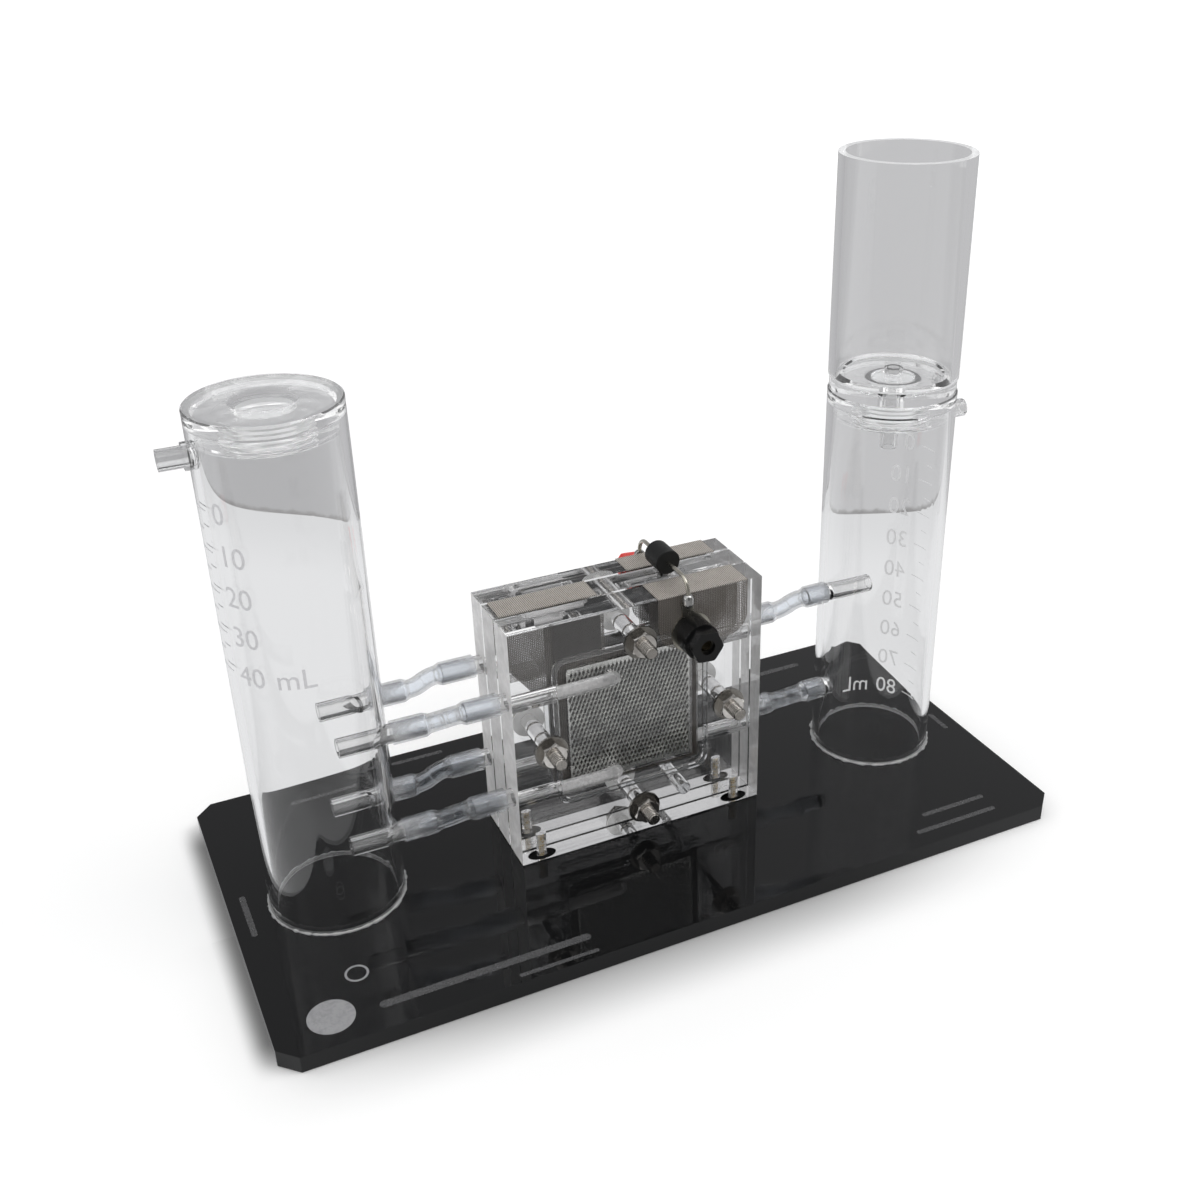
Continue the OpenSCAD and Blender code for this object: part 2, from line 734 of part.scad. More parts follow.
// A terminal sheet with its tab over the plate's top and its flap on the outer face.
// inner_y is the plate's inner face, outer_y its outer one, and side is the way outwards.
module collector(inner_y, outer_y, side, socket_z) {
    sheet_y(side < 0 ? inner_y : inner_y - sheet_t, sheet_t) {
        translate([sheet_x0, sheet_z0]) square(sheet_size);
        mirror([1, 0]) cut_tab(-tab_x - tab_w, tab_w, base_t + tab_cut_z);
    }
    y0 = side < 0 ? outer_y - sheet_t : inner_y - sheet_t;
    translate([tab_x, y0, plate_top_z]) cube([tab_w, abs(outer_y - inner_y) + 2 * sheet_t, sheet_t]);
    sheet_y(side < 0 ? outer_y - sheet_t : outer_y, sheet_t) {
        difference() {
            intersection() {
                round_square(tab_x, plate_top_z - flap_h, tab_w, flap_h + 3 * flap_r, flap_r);
                translate([tab_x, plate_top_z - flap_h - cut]) square([tab_w, flap_h + cut + sheet_t]);
            }
            translate([socket_x, socket_z]) circle(d = shank_hole_d());
        }
    }
}

module front_collector() {
    color("#9a948a") collector(front_inner_y, front_y, -1, base_t + front_socket_z);
}

module back_collector() {
    color("#9a948a") collector(back_inner_y, back_y, 1, base_t + back_socket_z);
}

// A tab down from the plate's top, with its lower left corner cut at the height cut_z
module cut_tab(x, w, cut_z) {
    low_z = cut_z - corner_h;
    polygon([
        [x, plate_top_z + sheet_t], [x, cut_z], [x + corner_w, low_z],
        [x + w, low_z], [x + w, plate_top_z + sheet_t]
    ]);
}

// One hanging end of the link strip
module link_outline() {
    translate([sheet_x0, sheet_z0]) square([sheet_size - 0.2, sheet_size]);
    cut_tab(link_x, link_w, base_t + link_cut_z);
}

module link_strip() {
    color("#9a948a") {
        sheet_y(middle_y - sheet_t, sheet_t) link_outline();
        sheet_y(middle_back_y, sheet_t) link_outline();
        translate([link_x, middle_y - sheet_t, plate_top_z]) cube([link_w, middle_t + 2 * sheet_t, sheet_t]);
    }
}

// A membrane with its electrodes, and the ear that touches the link strip
module membrane(y) {
    top = plate_top_z - ear_drop;
    low = sheet_z1 - ear_w / 2;
    color("#3a3633")
    sheet_y(y, membrane_t) {
        translate([sheet_x0 + 0.3, sheet_z0 + 0.2]) square([sheet_size - 0.6, sheet_size - 0.4]);
        round_square(ear_x, low, ear_w, top - low, ear_w / 6);
    }
}

module front_membrane() {
    membrane(front_inner_y + sheet_t + slack);
}

module back_membrane() {
    membrane(back_inner_y - sheet_t - slack - membrane_t);
}

module front_gasket() {
    color("#d5dde0") sheet_y(front_inner_y - gasket_t, gasket_t) gasket_ring(slack);
}

module back_gasket() {
    color("#d5dde0") sheet_y(back_inner_y, gasket_t) gasket_ring(slack);
}

// The places of the four clamping bolts
module at_bolts() {
    for (p = [[0, 1], [0, -1], [1, 0], [-1, 0]] * bolt_offset) {
        translate([p[0], 0, bolt_z + p[1]]) children();
    }
}

// A hexagonal bar along y, one of its corners at the angle turn above +x
module hexagon_y(y0, y1, flats, turn) {
    translate([0, y0, 0]) rotate([-90, 0, 0]) rotate([0, 0, -turn]) {
        cylinder(d = flats / cos(30), h = y1 - y0, $fn = 6);
    }
}

module stack_bolts() {
    head_y = back_y + washer_t;
    tip_y = front_y - washer_t - nut_t - bolt_proud;
    color("#a8a6a2")
    at_bolts() {
        hexagon_y(head_y, head_y + 2.8, nut_flats, 20);
        bar_y(tip_y + 0.4, head_y + 0.1, 0, 0, bolt_d);
        translate([0, tip_y + 0.4, 0]) rotate([90, 0, 0]) cylinder(d1 = bolt_d, d2 = bolt_d - 0.8, h = 0.4);
    }
}

module stack_nuts() {
    y = front_y - washer_t;
    color("#a8a6a2")
    at_bolts() difference() {
        intersection() {
            hexagon_y(y - nut_t, y, nut_flats, 20);
            translate([0, y - nut_t, 0]) rotate([-90, 0, 0]) {
                cylinder(d1 = nut_flats, d2 = nut_flats + 4 * nut_t, h = nut_t);
            }
        }
        bar_y(y - nut_t - cut, y + cut, 0, 0, bolt_d + 2 * slack);
    }
}

module stack_washers() {
    color("#b4b2ae")
    at_bolts() for (y = [front_y - washer_t, back_y]) {
        difference() {
            bar_y(y, y + washer_t, 0, 0, washer_d);
            bar_y(y - cut, y + washer_t + cut, 0, 0, bolt_d + 4 * slack);
        }
    }
}

module locating_pin() {
    color("#cfd6d8") bar_y(front_y + 0.1, back_y - 0.1, pin_x, base_t + pin_z, pin_d);
}

// Section of a free hose, made thicker by lap on both faces
module hose_section(lap) {
    difference() {
        circle(d = hose_od + 2 * lap);
        circle(d = hose_od - 2 * hose_wall - 2 * lap);
    }
}

// The end of a hose: a sleeve over a nozzle that narrows to the free hose, along +X from 0
module hose_end(length) {
    inner = nozzle_od / 2 + fit;
    outer = inner + sleeve_wall;
    free = hose_od / 2 + hose_lap;
    wall = hose_wall + 2 * hose_lap;
    rotate([0, 90, 0]) rotate_extrude() polygon([
        [inner, 0], [outer, 0], [outer, length], [free, length + hose_taper],
        [free - wall, length + hose_taper], [inner, length]
    ]);
}

// A free stretch of hose along +X that rises by rise over length, in two equal bends.
// The bends stop just short of each other, inside a joint that is thicker by the lap.
module hose_bend(length, rise) {
    angle = 2 * atan(abs(rise) / length);
    if (abs(rise) < 0.05) {
        rotate([0, 90, 0]) linear_extrude(length) hose_section(0);
    } else {
        r = length / (2 * sin(angle));
        sweep = angle - 0.1 / r * 180 / PI;
        mirror([0, 0, rise > 0 ? 0 : 1]) {
            translate([0, 0, r]) rotate([90, 0, 0]) rotate([0, 0, -90]) {
                rotate_extrude(angle = sweep) translate([r, 0]) hose_section(0);
            }
            translate([length, 0, abs(rise) - r]) rotate([90, 0, 0]) rotate([0, 0, 90]) {
                rotate_extrude(angle = sweep) translate([r, 0]) hose_section(0);
            }
            translate([length / 2, 0, abs(rise) / 2]) rotate([0, 90 - angle, 0]) {
                linear_extrude(0.6, center = true) hose_section(hose_lap);
            }
        }
    }
}

// A hose from a tank's nozzle to a plate's nozzle; side is -1 or 1
module hose(side, y, tank_port_z, plate_port_z, tank_gap, nozzle_reach) {
    tank_end = tank_x - wall_depth(y) - tank_gap;
    tank_nozzle_end = tank_x - nozzle_reach;
    plate_nozzle_end = plate_w / 2 + plate_nozzle_out;
    plate_end = plate_w / 2 + plate_hose_gap;
    bend_start = plate_nozzle_end + hose_taper - 0.2;
    bend_l = tank_nozzle_end - hose_taper + 0.2 - bend_start;
    color("#dfe8ea")
    mirror([side > 0 ? 0 : 1, 0, 0]) {
        translate([plate_end, y, base_t + plate_port_z]) hose_end(plate_nozzle_end - plate_end);
        translate([bend_start, y, base_t + plate_port_z]) hose_bend(bend_l, tank_port_z - plate_port_z);
        translate([tank_end, y, base_t + tank_port_z]) mirror([1, 0, 0]) hose_end(tank_end - tank_nozzle_end);
    }
}

module hose_front_upper() {
    hose(-1, front_port_y, oxygen_port_up, front_port_up, front_hose_gap, oxygen_nozzle_reach);
}

module hose_front_lower() {
    hose(-1, front_port_y, oxygen_port_low, front_port_low, front_hose_gap, oxygen_nozzle_reach);
}

module hose_back_upper() {
    hose(-1, back_port_y, oxygen_port_up, back_port_up, back_hose_gap, oxygen_nozzle_reach);
}

module hose_back_lower() {
    hose(-1, back_port_y, oxygen_port_low, back_port_low, back_hose_gap, oxygen_nozzle_reach);
}

module hose_middle_upper() {
    hose(1, middle_port_y, hydrogen_port_up, middle_port_up, middle_hose_gap, hydrogen_nozzle_reach);
}

module hose_middle_lower() {
    hose(1, middle_port_y, hydrogen_port_low, middle_port_low, middle_hose_gap, short_nozzle_reach);
}

function shank_hole_d() = socket_sleeve_d + 2 * slack;

// Places a socket's pieces, modelled along -Y from a face at y = 0, on the front or the back face
module on_face(side) {
    z = base_t + (side < 0 ? front_socket_z : back_socket_z);
    translate([socket_x, side < 0 ? front_y : back_y, z]) mirror([0, side < 0 ? 0 : 1, 0]) children();
}

// A socket's body: round at the plate and six flats at the mouth
module socket_body() {
    y0 = -socket_body_y;
    mouth_y = y0 - socket_l;
    flats_y = mouth_y + socket_flats_l;
    difference() {
        union() {
            bar_y(flats_y, y0, 0, 0, socket_d);
            intersection() {
                hexagon_y(mouth_y, flats_y + 0.1, socket_flats, -5);
                translate([0, mouth_y, 0]) rotate([-90, 0, 0]) {
                    cylinder(d1 = socket_flats + 0.5, d2 = socket_flats + 4 * socket_l, h = socket_l);
                }
            }
        }
        bar_y(mouth_y - cut, mouth_y + mouth_l + 0.1, 0, 0, mouth_d);
        bar_y(mouth_y + mouth_l, y0 + cut, 0, 0, socket_sleeve_d + 2 * slack);
    }
}

// The metal sleeve: a blind hole for a plug at the mouth and a shank in the plate
module socket_sleeve() {
    mouth_y = -socket_body_y - socket_l + mouth_l + slack;
    difference() {
        bar_y(mouth_y, shank_l, 0, 0, socket_sleeve_d);
        bar_y(mouth_y - cut, -socket_body_y - 0.2, 0, 0, plug_d);
    }
}

// A ring with a tongue that leans towards the diode's lead
module solder_tag(socket_z) {
    translate([0, -tag_y, 0]) rotate([90, 0, 0]) linear_extrude(tag_t) {
        rise = tongue_top - tongue_w / 2 - socket_z;
        lean = atan((socket_x - diode_x) / rise);
        difference() {
            union() {
                circle(d = tag_d);
                rotate(lean) {
                    translate([-tongue_w / 2, 0]) square([tongue_w, rise / cos(lean)]);
                    translate([0, rise / cos(lean)]) circle(d = tongue_w);
                }
            }
            circle(d = shank_hole_d());
        }
    }
}

module black_socket() {
    color("#0c0c0c") on_face(-1) socket_body();
}

module black_socket_sleeve() {
    color("#b9b4a6") on_face(-1) socket_sleeve();
}

module black_solder_tag() {
    color("#b9b4a6") on_face(-1) solder_tag(base_t + front_socket_z);
}

module red_socket() {
    color("#c81414") on_face(1) socket_body();
}

module red_socket_sleeve() {
    color("#b9b4a6") on_face(1) socket_sleeve();
}

module red_solder_tag() {
    color("#b9b4a6") on_face(1) solder_tag(base_t + back_socket_z);
}

module diode_body() {
    y0 = diode_y - diode_l / 2;
    color("#161616")
    translate([diode_x, y0, diode_z]) rotate([-90, 0, 0]) rotate_extrude() polygon([
        [0, 0], [diode_d / 2 - 0.2, 0], [diode_d / 2, 0.2], [diode_d / 2, diode_l - 0.2],
        [diode_d / 2 - 0.2, diode_l], [0, diode_l]
    ]);
}

// One lead from the diode's end, straight, round a bend and down behind the tongue
module lead(side) {
    end_y = diode_y + side * diode_l / 2;
    bend_y = side * (lead_reach - lead_bend_r);
    low_z = tongue_top - drop_h / 2;
    bar_y(min(end_y, bend_y), max(end_y, bend_y), diode_x, diode_z, lead_d);
    translate([diode_x, bend_y, diode_z - lead_bend_r]) mirror([0, side > 0 ? 0 : 1, 0]) {
        rotate([0, -90, 0]) mirror([0, 0, 1]) rotate_extrude(angle = 90) {
            translate([lead_bend_r, 0]) circle(d = lead_d);
        }
    }
    translate([diode_x, side * lead_reach, low_z]) cylinder(d = lead_d, h = diode_z - lead_bend_r - low_z);
}

module diode_leads() {
    color("#b8b2a2") {
        lead(-1);
        lead(1);
    }
}

// A drop of solder over each tongue's end, round its lead
module solder_joints() {
    color("#c9c9c6")
    for (side = [-1, 1]) {
        difference() {
            translate([diode_x, side * (lead_reach + slack), tongue_top - 0.6]) solder_drop();
            lead(side);
            solder_clearance(side);
        }
    }
}

// An upright drop with round ends
module solder_drop() {
    straight = drop_h - drop_w;
    rotate_extrude() intersection() {
        union() {
            translate([0, straight / 2]) circle(d = drop_w);
            translate([0, -straight / 2]) circle(d = drop_w);
            translate([0, -straight / 2]) square([drop_w / 2 - 0.02, straight]);
        }
        translate([0, -drop_h]) square([drop_w, 2 * drop_h]);
    }
}

// Everything behind a tongue's outer face, so that the drop lies on the tongue
module solder_clearance(side) {
    y = stack_d / 2 + sheet_t + tag_t;
    size = 2 * drop_h;
    translate([diode_x - size / 2, side < 0 ? -y : y - size, tongue_top - size / 2]) cube(size);
}

base_plate();
foot_screws();
foot_washers();
oxygen_tank();
oxygen_tank_cap();
oxygen_outlet();
oxygen_tank_nozzles();
hydrogen_tank();
hydrogen_tank_cap();
hydrogen_outlet();
hydrogen_tank_nozzles();
cup_base();
cup_tube();
cup_seal();
riser_tube();
front_plate();
middle_plate();
back_plate();
front_plate_nozzles();
middle_plate_nozzles();
back_plate_nozzles();
front_flow_mesh();
middle_front_flow_mesh();
middle_back_flow_mesh();
back_flow_mesh();
front_collector();
back_collector();
link_strip();
front_membrane();
back_membrane();
front_gasket();
back_gasket();
stack_bolts();
stack_nuts();
stack_washers();
locating_pin();
hose_front_upper();
hose_front_lower();
hose_back_upper();
hose_back_lower();
hose_middle_upper();
hose_middle_lower();
black_socket();
black_socket_sleeve();
black_solder_tag();
red_socket();
red_socket_sleeve();
red_solder_tag();
diode_body();
diode_leads();
solder_joints();
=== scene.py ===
import math
import bmesh
import bpy
from mathutils import Matrix, Vector, noise


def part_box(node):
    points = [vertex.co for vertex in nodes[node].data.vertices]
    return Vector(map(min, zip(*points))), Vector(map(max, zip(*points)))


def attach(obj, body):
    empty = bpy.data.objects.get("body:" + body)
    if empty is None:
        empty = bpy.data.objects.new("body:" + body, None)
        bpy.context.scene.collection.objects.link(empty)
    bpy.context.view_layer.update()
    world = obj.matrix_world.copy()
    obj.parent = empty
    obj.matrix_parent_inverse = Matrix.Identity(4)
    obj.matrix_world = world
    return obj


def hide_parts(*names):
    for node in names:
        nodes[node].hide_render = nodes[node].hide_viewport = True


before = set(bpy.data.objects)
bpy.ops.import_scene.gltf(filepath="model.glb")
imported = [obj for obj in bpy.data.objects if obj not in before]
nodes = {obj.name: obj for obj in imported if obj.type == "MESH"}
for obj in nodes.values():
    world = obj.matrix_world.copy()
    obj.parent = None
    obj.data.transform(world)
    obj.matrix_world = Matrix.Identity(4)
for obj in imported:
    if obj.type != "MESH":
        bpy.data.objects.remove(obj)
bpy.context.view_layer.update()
scene = bpy.context.scene
mm = 0.001
black = (0.0, 0.0, 0.0)
tankAt = 90.0  # the tanks stand this far left and right of the middle, in millimetres


camera = {
    "place": (-0.14375, -0.32869, 0.26622),
    "right": (0.8964240, -0.4431104, -0.0087867),
    "up": (0.2180122, 0.4236097, 0.8792187),
    "back": (-0.3858688, -0.7900683, 0.4763374),
    "lens": 42.471,
    "shiftX": -0.05914,
    "shiftY": 0.01221,
    "sensor": 36.0, "near": 0.01, "far": 50.0,
}
cameraData = bpy.data.cameras.new("camera")
cameraData.sensor_width = camera["sensor"]
cameraData.lens = camera["lens"]
cameraData.shift_x = camera["shiftX"]
cameraData.shift_y = camera["shiftY"]
cameraData.clip_start = camera["near"]
cameraData.clip_end = camera["far"]
cameraObject = bpy.data.objects.new("camera", cameraData)
turn = Matrix((camera["right"], camera["up"], camera["back"])).transposed()
cameraObject.matrix_world = Matrix.Translation(camera["place"]) @ turn.to_4x4()
scene.collection.objects.link(cameraObject)
scene.camera = cameraObject

scene.view_settings.view_transform = "Standard"
scene.cycles.max_bounces = 22
scene.cycles.transmission_bounces = 22
scene.cycles.glossy_bounces = 8
scene.cycles.diffuse_bounces = 4
scene.cycles.transparent_max_bounces = 32
scene.cycles.caustics_reflective = False
scene.cycles.caustics_refractive = False
print("camera set")


class Sock:  # one socket of a node, so that shader sums read as plain Python
    def __init__(self, finish, socket):
        self.finish = finish
        self.socket = socket

    def maths(self, operation, *others):
        made = self.finish.add("ShaderNodeMath", {"operation": operation})
        for place, value in enumerate((self,) + others):
            self.finish.put(made.node.inputs[place], value)
        return made["Value"]

    def __add__(self, other): return self.maths("ADD", other)
    def __radd__(self, other): return self.maths("ADD", other)
    def __sub__(self, other): return self.maths("SUBTRACT", other)
    def __mul__(self, other): return self.maths("MULTIPLY", other)
    def __rmul__(self, other): return self.maths("MULTIPLY", other)
    def __pow__(self, other): return self.maths("POWER", other)
    def __lt__(self, other): return self.maths("LESS_THAN", other)
    def __gt__(self, other): return self.maths("GREATER_THAN", other)
    def __abs__(self): return self.maths("ABSOLUTE")

    def __rsub__(self, other):
        made = self.finish.add("ShaderNodeMath", {"operation": "SUBTRACT"})
        made.node.inputs[0].default_value = other
        self.finish.put(made.node.inputs[1], self)
        return made["Value"]

    def sine(self): return self.maths("SINE")
    def turnFrom(self, other): return self.maths("ARCTAN2", other)
    def root(self): return self.maths("SQRT")
    def least(self, other): return self.maths("MINIMUM", other)
    def most(self, other): return self.maths("MAXIMUM", other)

    def ramp(self, low, high, first=0.0, last=1.0):  # a soft step from low to high
        made = self.finish.add("ShaderNodeMapRange", {"interpolation_type": "SMOOTHSTEP"},
                               {"Value": self, "From Min": low, "From Max": high,
                                "To Min": first, "To Max": last})
        return made["Result"]


class Made:
    def __init__(self, finish, node):
        self.finish = finish
        self.node = node

    def __getitem__(self, name):
        return Sock(self.finish, self.node.outputs[name])


class Finish:  # a material or the world, built node by node
    def __init__(self, block):
        block.use_nodes = True
        self.block = block
        self.tree = block.node_tree
        self.tree.nodes.clear()

    def put(self, socket, value):
        if isinstance(value, Sock):
            self.tree.links.new(value.socket, socket)
        elif isinstance(value, (tuple, list)) and len(value) == 3 and socket.type == "RGBA":
            socket.default_value = (*value, 1.0)
        else:
            socket.default_value = value

    def add(self, kind, settings=None, links=None):
        node = self.tree.nodes.new(kind)
        for name, value in (settings or {}).items():
            setattr(node, name, value)
        for name, value in (links or {}).items():
            self.put(node.inputs[name], value)
        return Made(self, node)

    def place(self):  # the point on the piece, in millimetres
        coords = self.add("ShaderNodeTexCoord")["Object"]
        parts = self.add("ShaderNodeSeparateXYZ", None, {"Vector": coords})
        return coords, parts["X"] * 1000.0, parts["Y"] * 1000.0, parts["Z"] * 1000.0

    def noise(self, coords, scale, detail=3.0, roughness=0.55):
        return self.add("ShaderNodeTexNoise", None,
                        {"Vector": coords, "Scale": scale, "Detail": detail, "Roughness": roughness})["Fac"]

    def blend(self, share, first, second):  # this node's colours are its inputs 6 and 7 and its output 2
        made = self.add("ShaderNodeMix", {"data_type": "RGBA"})
        self.put(made.node.inputs[0], share)
        self.put(made.node.inputs[6], first)
        self.put(made.node.inputs[7], second)
        return Sock(self, made.node.outputs[2])

    def bump(self, height, strength, distance):
        return self.add("ShaderNodeBump", None,
                        {"Height": height, "Strength": strength, "Distance": distance * mm})["Normal"]

    def mixed(self, share, first, second):
        made = self.add("ShaderNodeMixShader")
        self.put(made.node.inputs[0], share)
        self.put(made.node.inputs[1], first)
        self.put(made.node.inputs[2], second)
        return made["Shader"]

    def end(self, shader, kind="ShaderNodeOutputMaterial"):
        self.add(kind, None, {"Surface": shader})
        return self.block


def finish(name):
    return Finish(bpy.data.materials.new(name))


studio = {
    "worldLevel": 0.74,
    "shineLevel": 0.42,
    "throughLevel": 1.06,
    "floorTone": (0.93, 0.93, 0.93),
    "floorGlow": (0.14, 0.14, 0.14),
    "farGlow": (0.5, 0.5, 0.5),
    "farFloor": (0.70, 0.705, 0.715),
    "nearFloor": (0.785, 0.79, 0.80),
    "frontFloor": (0.36, 0.36, 0.36),
    "shadowFloor": (0.1, 0.1, 0.1),
    "glowFrom": 350.0, "glowTo": 1300.0,
    "frontFrom": -92.0, "frontTo": -62.0,
    "wallReach": 70.0,
    "floorSize": 6.0, "floorDown": 0.0003,
}
shadow = {
    "edgeX": -120.0, "left": 0.72, "leftReach": 7.5, "leftWide": (44.0, 60.0),
    "edgeY": -59.0, "front": 0.48, "frontReach": 23.0, "frontWide": (40.0, 128.0), "frontMiddle": -14.0,
}
wall = {
    "width": 3.0, "height": 1.4, "turn": math.radians(-27.41), "away": 0.2315,
    "left": (0.40, 0.40, 0.41), "right": (0.515, 0.515, 0.525), "across": (-80.0, 210.0),
    "edge": (0.27, 0.265, 0.265), "edgeHigh": (3.0, 5.5), "ragged": 5.0,
}
screen = {
    "radius": 1.1, "height": 2.2, "shine": 0.5, "through": 1.06, "top": 1.15, "card": 0.8, "cardLevel": 1.5,
    # each strip's middle and half width in degrees, and what it adds to the level
    "strips": ((-12.0, 9.0, 0.9), (-168.0, 9.0, 0.8), (-100.0, 14.0, -0.4), (-55.0, 8.0, -0.35), (150.0, 12.0, 0.4)),
    "soft": 1.3,
}


def rays(f):  # what a reflection and what a look through clear plastic see, apart from the camera
    ray = f.add("ShaderNodeLightPath")
    through = ray["Is Transmission Ray"]
    return ray["Is Camera Ray"], ray["Is Glossy Ray"] * (1.0 - through), through


def makeWorld():
    world = bpy.data.worlds.new("studio")
    scene.world = world
    f = Finish(world)
    seen, shine, through = rays(f)
    level = seen * (1.0 - studio["worldLevel"]) + studio["worldLevel"]
    level = level + shine * (studio["shineLevel"] - studio["worldLevel"])
    level = level + through * (studio["throughLevel"] - studio["worldLevel"])
    glow = f.add("ShaderNodeBackground", None, {"Color": (1.0, 1.0, 1.0), "Strength": level})
    f.end(glow["Background"], "ShaderNodeOutputWorld")


def makeFloor():
    shape = bmesh.new()
    bmesh.ops.create_grid(shape, x_segments=1, y_segments=1, size=studio["floorSize"])
    bmesh.ops.translate(shape, verts=shape.verts, vec=(0, 0, -studio["floorDown"]))
    floor = newPiece("floor", shape)
    f = finish("paperFloor")
    seen, shine, through = rays(f)
    x, y = f.place()[1:3]
    # the base's soft shadow, short at the left edge and longer in front
    left = (shadow["edgeX"] - x).ramp(0.0, shadow["leftReach"], shadow["left"], 0.0)
    left = left * abs(y).ramp(*shadow["leftWide"], 1.0, 0.0) * (x < 0.0)
    front = (shadow["edgeY"] - y).ramp(0.0, shadow["frontReach"], shadow["front"], 0.0)
    front = front * abs(x - shadow["frontMiddle"]).ramp(*shadow["frontWide"], 1.0, 0.0) * (y < 0.0)
    share = (1.0 - left) * (1.0 - front)
    cloth = f.add("ShaderNodeBsdfDiffuse", None, {"Color": f.blend(share, black, studio["floorTone"])})["BSDF"]
    far = (x * x + y * y).root().ramp(studio["glowFrom"], studio["glowTo"])
    white = f.blend(far, studio["floorGlow"], studio["farGlow"])
    glow = f.add("ShaderNodeEmission", None, {"Color": f.blend(share * seen, black, white)})
    lit = f.add("ShaderNodeAddShader")
    f.put(lit.node.inputs[0], cloth)
    f.put(lit.node.inputs[1], glow["Emission"])
    # painted shade: seen through glass and in reflections, the floor is darker towards the foot of the grey wall
    toWall = wall["away"] * 1000 + x * math.sin(wall["turn"]) - y * math.cos(wall["turn"])
    paper = f.blend(toWall.ramp(0.0, studio["wallReach"]), studio["farFloor"], studio["nearFloor"])
    # painted shade: in reflections the floor in front of the base is darker
    inFront = y.ramp(studio["frontFrom"], studio["frontTo"], 1.0, 0.0)
    paper = f.blend(shine * inFront, paper, studio["frontFloor"])
    plain = f.add("ShaderNodeEmission", None, {"Color": f.blend(share, studio["shadowFloor"], paper)})["Emission"]
    floor.data.materials.append(f.end(f.mixed((shine + through).least(1.0), lit["Shader"], plain)))


def turnOn(shape, angle, axis):
    bmesh.ops.rotate(shape, verts=shape.verts, cent=(0, 0, 0), matrix=Matrix.Rotation(angle, 3, axis))


def unseen(piece):  # only glass and gloss see it
    for name in ("camera", "diffuse", "shadow", "volume_scatter"):
        setattr(piece, "visible_" + name, False)


def makeWall():
    # the grey paper behind the model, upright and square to the view
    shape = bmesh.new()
    bmesh.ops.create_grid(shape, x_segments=1, y_segments=1, size=0.5)
    bmesh.ops.scale(shape, verts=shape.verts, vec=(wall["width"], wall["height"], 1))
    turnOn(shape, math.radians(90), "X")
    turnOn(shape, wall["turn"], "Z")
    away = Vector((-math.sin(wall["turn"]), math.cos(wall["turn"]), 0)) * wall["away"]
    bmesh.ops.translate(shape, verts=shape.verts, vec=away + Vector((0, 0, wall["height"] / 2)))
    paper = newPiece("greyPaper", shape)
    f = finish("greyPaper")
    coords, x, _, z = f.place()
    ragged = f.noise(coords, 120.0, 4.0)
    tone = f.blend(x.ramp(*wall["across"]), wall["left"], wall["right"])
    tone = f.blend((z + ragged * wall["ragged"]).ramp(*wall["edgeHigh"]), wall["edge"], tone)
    glow = f.add("ShaderNodeEmission", None, {"Color": tone})
    paper.data.materials.append(f.end(glow["Emission"]))
    unseen(paper)


def makeScreen():
    # bright and dark strips all round that draw the highlights on glass and metal
    shape = bmesh.new()
    bmesh.ops.create_cone(shape, cap_ends=False, segments=96, radius1=screen["radius"],
                          radius2=screen["radius"], depth=screen["height"])
    bmesh.ops.translate(shape, verts=shape.verts, vec=(0, 0, screen["height"] / 2))
    card = newPiece("screen", shape)
    f = finish("screenCards")
    through = rays(f)[2]
    x, y = f.place()[1:3]
    turned = y.turnFrom(x) * (180.0 / math.pi)
    tone = 0.0
    for middle, width, level in screen["strips"]:
        tone = abs(turned - middle).ramp(width, width * screen["soft"], level, 0.0) + tone
    tone = tone * (1.0 - through * 0.5)
    tone = tone + screen["shine"] + through * (screen["through"] - screen["shine"])
    white = f.add("ShaderNodeCombineColor", None, {"Red": tone, "Green": tone, "Blue": tone})["Color"]
    glow = f.add("ShaderNodeEmission", None, {"Color": white})
    card.data.materials.append(f.end(glow["Emission"]))
    unseen(card)
    shape = bmesh.new()
    bmesh.ops.create_grid(shape, x_segments=1, y_segments=1, size=screen["card"])
    bmesh.ops.translate(shape, verts=shape.verts, vec=(0, 0, screen["top"]))
    overhead = newPiece("overheadCard", shape)
    f = finish("overheadCard")
    glow = f.add("ShaderNodeEmission", None, {"Color": (screen["cardLevel"],) * 3})
    overhead.data.materials.append(f.end(glow["Emission"]))
    unseen(overhead)


def newPiece(name, shape, smooth=None):
    data = bpy.data.meshes.new(name)
    shape.to_mesh(data)
    shape.free()
    made = bpy.data.objects.new(name, data)
    scene.collection.objects.link(made)
    if smooth is not None:
        for face in data.polygons:
            face.use_smooth = True
        data.set_sharp_from_angle(angle=math.radians(smooth))
    return made


def softLamp(name, place, aim, size, power, shines):
    data = bpy.data.lights.new(name, "AREA")
    data.shape = "RECTANGLE"
    data.size, data.size_y = size
    data.energy = power
    lamp = bpy.data.objects.new(name, data)
    lamp.location = place
    lamp.rotation_mode = "QUATERNION"
    lamp.rotation_quaternion = (Vector(aim) - Vector(place)).to_track_quat("-Z", "Y")
    lamp.visible_glossy = shines
    lamp.visible_transmission = False
    scene.collection.objects.link(lamp)


makeWorld()
makeFloor()
makeWall()
makeScreen()
softLamp("keyLamp", place=(0.5, -0.35, 0.9), aim=(0, 0, 0.06), size=(0.6, 0.6), power=3.2, shines=True)
softLamp("fillLamp", place=(-0.8, 0.5, 0.8), aim=(0, 0, 0.08), size=(0.7, 0.7), power=2.2, shines=False)
print("studio set")


def lampsThrough(f, shader, tint):
    # clear plastic lets the lamps' light through to what is behind it
    ray = f.add("ShaderNodeLightPath")
    passing = f.add("ShaderNodeBsdfTransparent", None, {"Color": tint})["BSDF"]
    return f.mixed(ray["Is Shadow Ray"], shader, passing)
